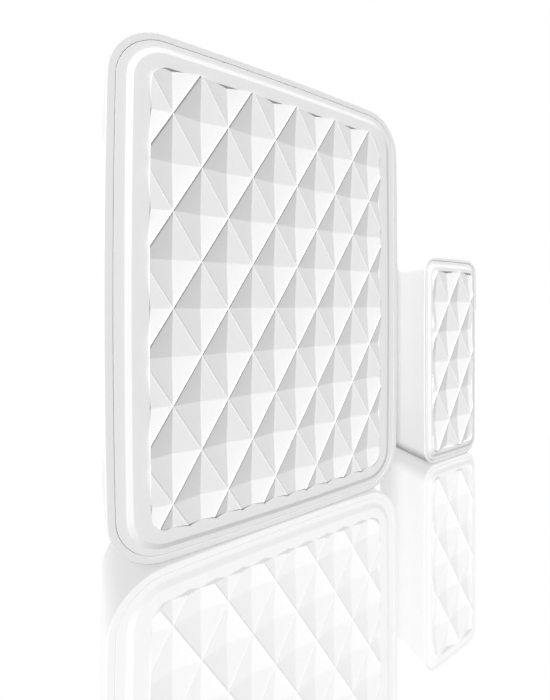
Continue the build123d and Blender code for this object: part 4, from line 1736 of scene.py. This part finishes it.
@dataclass
class SmallParts:
    """The controller chip, crystal, capacitor, chip components and status light."""

    # Controller chip.
    chip: Pair = (14.5, -12.6)
    chip_side: float = 4.96
    chip_height: float = 0.9
    chip_gap: float = 0.04
    chip_mark_shift: float = 1.8
    chip_mark: Profile = ((-0.05, 0.3), (0.012, 0.3), (0.012, 0.02))
    contact_rows: tuple[float, ...] = tuple(0.5 * i - 1.75 for i in range(8))
    contact_reach: float = 2.42
    contact_size: Pair = (0.62, 0.26)
    contact_height: float = 0.22
    # Crystal.
    crystal: Pair = (15.6, -17.6)
    crystal_land: Pair = (1.5, 0.55)
    crystal_solder: Point = (0.9, 0.6, 0.12)
    # Capacitor. Its sleeve is given as height above the board and radius.
    capacitor: Pair = (4.9, -10.0)
    base_half: float = 2.5
    base_cut: float = 1.7
    base_heights: Pair = (0.05, 0.6)
    sleeve: Profile = (
        (0.5, 2.25), (0.75, 2.3), (1.15, 2.3), (1.3, 2.18), (1.5, 2.12), (1.7, 2.18), (1.85, 2.3),
        (4.7, 2.3), (4.88, 2.24), (4.96, 2.08), (4.97, 1.9), (4.93, 1.8), (4.93, 0.05),
    )
    mark_radius: float = 1.78
    mark_height: Pair = (4.9, 4.945)
    mark_turns: tuple[int, ...] = tuple(range(130, 231, 10))
    tab_reach: float = 2.6
    tab: Point = (0.8, 0.9, 0.16)
    # Chip components: places, middle, metal ends and solder fillets.
    chips: Profile = (
        (10.4, -10.0), (10.4, -11.6), (18.6, -11.0), (18.6, -14.2), (6.0, 18.6), (16.6, 18.6),
    )
    chip_middle: Point = (1.02, 0.78, 0.48)
    end_reach: float = 0.63
    end_size: Point = (0.34, 0.8, 0.5)
    fillet: Profile = ((0.75, 0.0), (0.75, 0.35), (1.15, 0.04), (1.15, 0.0))
    fillet_half: float = 0.38
    # Status light. Its lens is given as height above the board and distance inwards.
    light: Pair = (21.3, 8.0)
    light_width: float = 1.36
    carrier_length: float = 2.2
    carrier_heights: Pair = (0.02, 0.32)
    terminal_reach: float = 1.15
    terminal: Point = (1.4, 0.34, 0.3)
    lens_base: Pair = (1.6, 0.12)
    lens: Profile = ((0.3, 0.0), (0.5, 0.03), (0.75, 0.08), (0.85, 0.14), (0.9, 0.26), (0.91, 0.45))

    def build(self) -> None:
        """Build every small part."""
        self.controller()
        self.can()
        refined("crystal_can", Stock.CRYSTAL, 0.08)
        x, z = self.crystal
        wide, tall = self.crystal_land
        lands = product((x - wide, x + wide), (z - tall, z + tall))
        scatter(block(*self.crystal_solder), lands, BOARD_TOP, "crystal_solder", Stock.TIN, 0.05)
        middle = block(*self.chip_middle)
        piece = scatter(middle, self.chips, BOARD_TOP, "chip_components_bodies", Stock.CERAMIC, 0.04)
        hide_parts("chip_components")
        caps, fillets = Draft(), Draft()
        width, length, height = self.end_size
        for side in (-1, 1):
            caps.brick(side * self.end_reach, 0.0, width, length, 0.0, height)
            slope = [(side * across, up) for across, up in self.fillet]
            fillets.prism(slope, "z", -self.fillet_half, self.fillet_half)
        scatter(caps, self.chips, BOARD_TOP, "chip_components_ends", Stock.TIN, 0.06)
        scatter(fillets, self.chips, BOARD_TOP, "chip_components_solder", Stock.TIN)
        self.status()

    def controller(self) -> None:
        """Build the leadless chip and the contacts along its four sides."""
        x, z = self.chip
        top = BOARD_TOP + self.chip_height
        body = Draft().brick(x, z, self.chip_side, self.chip_side, BOARD_TOP + self.chip_gap, top)
        corner = (x - self.chip_mark_shift, top, z + self.chip_mark_shift)
        dot = Draft().lathe(self.chip_mark, 24, corner)
        dot.settle("controller_chip_mark", Stock.CERAMIC)
        pairs = list(product((-self.contact_reach, self.contact_reach), self.contact_rows))
        upright = [(x + side, z + step) for side, step in pairs]
        level = [(x + step, z + side) for side, step in pairs]
        long, short = self.contact_size
        flat, tall = block(long, short, self.contact_height), block(short, long, self.contact_height)
        scatter(flat, upright, BOARD_TOP, "controller_chip_contacts", Stock.TIN, 0.04)
        scatter(tall, level, BOARD_TOP, "controller_chip_end_contacts", Stock.TIN, 0.04)
        piece = body.settle("controller_chip_package", Stock.EPOXY, 0.07)
        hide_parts("controller_chip")

    def can(self) -> None:
        """Build the electrolytic capacitor: base with cut corners, grooved can and polarity mark."""
        x, z = self.capacitor
        half, cut = self.base_half, self.base_cut
        corners = [(-half, -half), (cut, -half), (half, -cut), (half, cut), (cut, half), (-half, half)]
        corners = [(x + a, z + b) for a, b in corners]
        base = Draft().prism(corners, "height", *(BOARD_TOP + up for up in self.base_heights))
        base.settle("reservoir_capacitor_base", Stock.SWITCH, 0.1)
        can = Draft().lathe(self.sleeve, 56, (x, BOARD_TOP, z))
        piece = can.settle("reservoir_capacitor_sleeve", Stock.CAPACITOR)
        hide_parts("reservoir_capacitor")
        turns = [math.radians(turn) for turn in self.mark_turns]
        segment = [(x + self.mark_radius * math.cos(t), z + self.mark_radius * math.sin(t)) for t in turns]
        mark = Draft().prism(segment, "height", *(BOARD_TOP + up for up in self.mark_height))
        mark.settle("reservoir_capacitor_mark", Stock.SWITCH)
        tabs = Draft()
        width, length, height = self.tab
        for end in (-1, 1):
            tabs.brick(x, z + end * self.tab_reach, width, length, BOARD_TOP, BOARD_TOP + height)
        tabs.settle("reservoir_capacitor_tabs", Stock.TIN, 0.05)

    def status(self) -> None:
        """Build the status light: carrier, lens and the two terminals."""
        x, z = self.light
        heights = (BOARD_TOP + up for up in self.carrier_heights)
        carrier = Draft().brick(x, z, self.light_width, self.carrier_length, *heights)
        carrier.settle("status_led_carrier", Stock.BUTTON, 0.04)
        ends = Draft()
        width, length, height = self.terminal
        for end in (-1, 1):
            ends.brick(x, z + end * self.terminal_reach, width, length, BOARD_TOP, BOARD_TOP + height)
        ends.settle("status_led_terminals", Stock.COPPER, 0.05)
        base = Outline(self.light_width, *self.lens_base)
        rings = [base.inset(inward).ring(BOARD_TOP + up, (x, z), 1, 4) for up, inward in self.lens]
        piece = Draft().loft(rings).settle("status_led_lens", Stock.LENS)
        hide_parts("status_led")


@dataclass
class PushSwitch:
    """A six millimetre push switch: moulded body, steel plate, rivets, legs and button."""

    name: str
    button: str
    place: Pair
    button_top: float
    button_stock: Stock
    height: float = 3.5
    corner: float = 2.25
    # The button as height from its tip and radius. It starts inside the body.
    knob: Profile = (
        (-0.18, 1.7), (-0.05, 1.64), (0.0, 1.5), (0.0, 1.275), (-0.06, 1.156), (-0.06, 0.05),
    )
    button_radius: float = 1.7
    button_root: float = 1.2
    button_play: float = 0.2
    plate_heights: Pair = (-0.12, 0.14)
    plate: Outline = Outline(5.9, 5.9, 0.35)
    rivet: Profile = ((0.0, 0.42), (0.1, 0.42), (0.2, 0.32), (0.24, 0.05))
    rivet_rise: float = 0.1
    # A leg's section as distance from the switch's middle and height.
    leg: Profile = (
        (2.8, 1.5), (3.22, 1.5), (3.22, 0.2), (3.75, 0.2), (3.75, 0.0), (3.0, 0.0), (3.0, 1.3), (2.8, 1.3),
    )
    leg_half: float = 0.35

    def build(self) -> None:
        """Build the switch at its place."""
        x, z = self.place
        top, r, tip = BOARD_TOP + self.height, self.button_radius, self.button_top
        refined(f"{self.name}_body", Stock.SWITCH, 0.12)
        outer = self.plate.ring(0.0, (x, z), 3, 3)
        hole = []
        for px, _, pz in outer:
            share = (r + self.button_play) / math.hypot(px - x, pz - z)
            hole.append((x + (px - x) * share, 0.0, z + (pz - z) * share))
        plate = Draft().band(outer, hole, *(top + up for up in self.plate_heights))
        plate.settle(f"{self.name}_plate", Stock.SHIELD, 0.05)
        corners = product((x - self.corner, x + self.corner), (z - self.corner, z + self.corner))
        rivet = Draft().lathe(self.rivet, 20)
        scatter(rivet, corners, top + self.rivet_rise, f"{self.name}_rivets", Stock.SWITCH)
        self.legs()
        profile = [(top - self.button_root, r), *((tip + up, radius) for up, radius in self.knob)]
        knob = Draft().lathe(profile, centre=(x, 0.0, z))
        piece = knob.settle(f"{self.button}_cap", self.button_stock, body=self.button)
        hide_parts(self.button)

    def legs(self) -> None:
        """Build the four bent legs as one piece."""
        x, z = self.place
        draft = Draft()
        for side, end in product((-1, 1), (-1, 1)):
            profile = [(x + side * across, BOARD_TOP + up) for across, up in self.leg]
            middle = z + end * self.corner
            draft.prism(profile, "z", middle - self.leg_half, middle + self.leg_half)
        draft.settle(f"{self.name}_legs", Stock.TIN, 0.05)


@dataclass
class PowerPack:
    """The two cells and the three sprung contacts."""

    length: float = 44.5
    shoulder: float = 0.8
    nub_end: float = 23.35
    # Outlines as distance along the cell and radius: the base and the sleeve's lower end from the flat
    # end, the sleeve's upper end and the cap from the shoulder, and the nub from its own end.
    base: Profile = ((0.6, 4.25), (0.14, 4.25), (0.06, 4.1), (0.06, 3.0), (0.02, 2.8), (0.02, 0.05))
    crimp: Profile = ((0.18, 4.2), (0.02, 4.45), (0.0, 4.8), (0.12, 5.08), (0.4, 5.25))
    lip: Profile = ((-0.5, 5.25), (-0.15, 5.1), (0.0, 4.8), (-0.02, 4.4), (-0.2, 4.15), (-0.35, 4.1))
    cap: Profile = (
        (-0.8, 4.15), (-0.22, 4.15), (-0.12, 3.9), (-0.12, 2.6), (0.02, 2.2), (0.15, 1.95),
    )
    nub: Profile = ((-0.2, 1.88), (-0.04, 1.7), (0.0, 1.4), (0.0, 0.05))

    def build(self) -> None:
        """Build both cells and dress the contacts."""
        self.cell(CELL_X[0], 1, "battery_cell_left", Stock.SLEEVE_LEFT)
        self.cell(CELL_X[1], -1, "battery_cell_right", Stock.SLEEVE_RIGHT)
        for node in ("battery_bridge_contact", "negative_spring_contact", "positive_contact"):
            refined(node, Stock.NICKEL, 0.08)

    def cell(self, x: float, up: int, name: str, stock: Stock) -> None:
        """Build one cell: shrink sleeve, crimped ends and nub.

        Args:
            x: Its middle along x.
            up: 1 where the nub points up, -1 where it points down.
            name: The node that it stands for.
            stock: The sleeve's finish.
        """
        flat, top, end = up * (self.nub_end - self.length), self.length, self.length - self.shoulder
        sleeve = [*self.crimp, *((end + rise, radius) for rise, radius in self.lip)]
        cap = [(end + rise, radius) for rise, radius in self.cap]
        cap += [(top + rise, radius) for rise, radius in self.nub]
        for label, profile in (("sleeve", sleeve), ("base", self.base), ("cap", cap)):
            turned = [(flat + up * along, radius) for along, radius in profile]
            draft = Draft().lathe(turned, 72, (x, CELL_HEIGHT, 0.0), upright=True)
            piece = draft.settle(f"{name}_{label}", stock if label == "sleeve" else Stock.NICKEL)
            if label == "sleeve":
                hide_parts(name)


# Studio


@dataclass
class Studio:
    """The white studio: floor, world, lamps and camera."""

    floor_z: float = -36.0
    floor_size: float = 4000.0
    floor_mirror: float = 0.37
    floor_lit: float = 0.04
    floor_glow: float = 1.01
    floor_roughness: float = 0.03
    # Greys, as the share of light that the floor and the room give back.
    matt: Colour = (0.3, 0.3, 0.3, 1.0)
    pale: Colour = (0.85, 0.85, 0.85, 1.0)
    white: Colour = (1.0, 1.0, 1.0, 1.0)
    ambient: float = 0.14
    # Each lamp's name, direction, strength and the angle that it fills in degrees.
    lamps: tuple[tuple[str, Point, float, float], ...] = (
        ("key", (-0.56, -0.53, 0.637), 4.3, 12.0),
        ("rear", (0.1, 0.98, 0.15), 2.0, 30.0),
        ("side", (-0.95, 0.3, 0.05), 0.4, 30.0),
        ("rear_right", (0.8, 0.58, 0.15), 1.1, 30.0),
    )
    camera_place: Point = (-29.4, -64.4, -0.83)
    camera_turn_deg: float = 29.6
    camera_lens: float = 18.10
    camera_film: float = 36.0
    camera_shift: float = -0.065
    camera_clip: Pair = (0.001, 20.0)

    def build(self) -> None:
        """Build the whole studio."""
        self.floor()
        self.world()
        for name, towards, strength, spread in self.lamps:
            self.lamp(name, towards, strength, spread)
        self.camera()
        bpy.context.scene.view_settings.view_transform = "Standard"

    def seen_plainly(self, tree: bpy.types.NodeTree) -> bpy.types.NodeSocket:
        """Tell the rays that the eye, a reflection or glass sends from the others.

        Args:
            tree: The tree that gets the nodes.

        Returns:
            A socket that is 1 for such a ray and 0 for another.
        """
        path = add_node(tree, "ShaderNodeLightPath").outputs
        seen = path["Is Camera Ray"]
        for kind in ("Is Glossy Ray", "Is Transmission Ray"):
            either = {0: seen, 1: path[kind]}
            seen = add_node(tree, "ShaderNodeMath", {"operation": "MAXIMUM"}, either).outputs[0]
        return seen

    def floor(self) -> None:
        """Build the white floor, which mirrors faintly and keeps a faint shadow."""
        half, z = self.floor_size / 2 * MM, self.floor_z * MM
        mesh = bpy.data.meshes.new("floor")
        corners = [(-half, -half, z), (half, -half, z), (half, half, z), (-half, half, z)]
        mesh.from_pydata(corners, [], [(0, 1, 2, 3)])
        material, tree = new_material("polished_white_acrylic")
        matt, lit, glow, mirror = (
            add_node(tree, f"ShaderNode{kind}", inputs=inputs).outputs[0]
            for kind, inputs in (
                ("BsdfDiffuse", {"Color": self.matt}),
                ("BsdfDiffuse", {"Color": self.pale}),
                ("Emission", {"Color": self.white, "Strength": self.floor_glow}),
                ("BsdfGlossy", {"Color": self.white, "Roughness": self.floor_roughness}),
            )
        )
        white = add_node(tree, "ShaderNodeMixShader", inputs={0: self.floor_lit, 1: glow, 2: lit}).outputs[0]
        both = {0: self.floor_mirror, 1: white, 2: mirror}
        shown = add_node(tree, "ShaderNodeMixShader", inputs=both).outputs[0]
        either = {0: self.seen_plainly(tree), 1: matt, 2: shown}
        close_surface(tree, "ShaderNodeMixShader", either)
        mesh.materials.append(material)
        floor = new_object("studio_floor", mesh)

    def world(self) -> None:
        """Make the world white to the eye and a soft even light to the object."""
        world = bpy.data.worlds.new("studio")
        bpy.context.scene.world = world
        world.use_nodes = True
        tree = world.node_tree
        tree.nodes.clear()
        levels = ({"Color": self.white, "Strength": strength} for strength in (self.ambient, 1.0))
        soft, plain = (add_node(tree, "ShaderNodeBackground", inputs=level).outputs[0] for level in levels)
        either = {0: self.seen_plainly(tree), 1: soft, 2: plain}
        mix = add_node(tree, "ShaderNodeMixShader", inputs=either)
        add_node(tree, "ShaderNodeOutputWorld", inputs={"Surface": mix.outputs[0]})

    def lamp(self, name: str, towards: Point, strength: float, spread_deg: float) -> None:
        """Add a distant soft lamp.

        Args:
            name: Its name.
            towards: The direction from the object to the lamp.
            strength: Its strength.
            spread_deg: The angle that it fills.
        """
        data = bpy.data.lights.new(name, "SUN")
        data.energy = strength
        data.angle = math.radians(spread_deg)
        lamp = new_object(name, data)
        lamp.rotation_mode = "QUATERNION"
        lamp.rotation_quaternion = Vector(towards).to_track_quat("Z", "Y")

    def camera(self) -> None:
        """Set the camera where the photograph was taken from."""
        data = bpy.data.cameras.new("photo_camera")
        data.lens = self.camera_lens
        data.sensor_width = self.camera_film
        data.shift_y = self.camera_shift
        data.clip_start, data.clip_end = self.camera_clip
        camera = new_object("photo_camera", data)
        camera.location = Vector(self.camera_place) * MM
        camera.rotation_euler = (math.pi / 2, 0.0, -math.radians(self.camera_turn_deg))
        bpy.context.scene.camera = camera


def main() -> None:
    logging.basicConfig(level=logging.INFO, format="%(message)s")
    pair = PushSwitch("pair_switch", "pair_button", (7.5, -16.0), 11.6, Stock.BUTTON)
    tamper = PushSwitch("tamper_switch", "tamper_plunger", (11.0, 20.0), 11.0, Stock.PLUNGER)
    housings = (Studio(), SENSOR, MAGNET, SensorBay(), CoverFittings(), MagnetCradle())
    electronics = (CircuitBoard(), BoardScrew(), ReedSwitch(), RadioModule(), SmallParts(), pair, tamper)
    for assembly in (*housings, *electronics, PowerPack()):
        assembly.build()


if __name__ == "__main__":
    main()
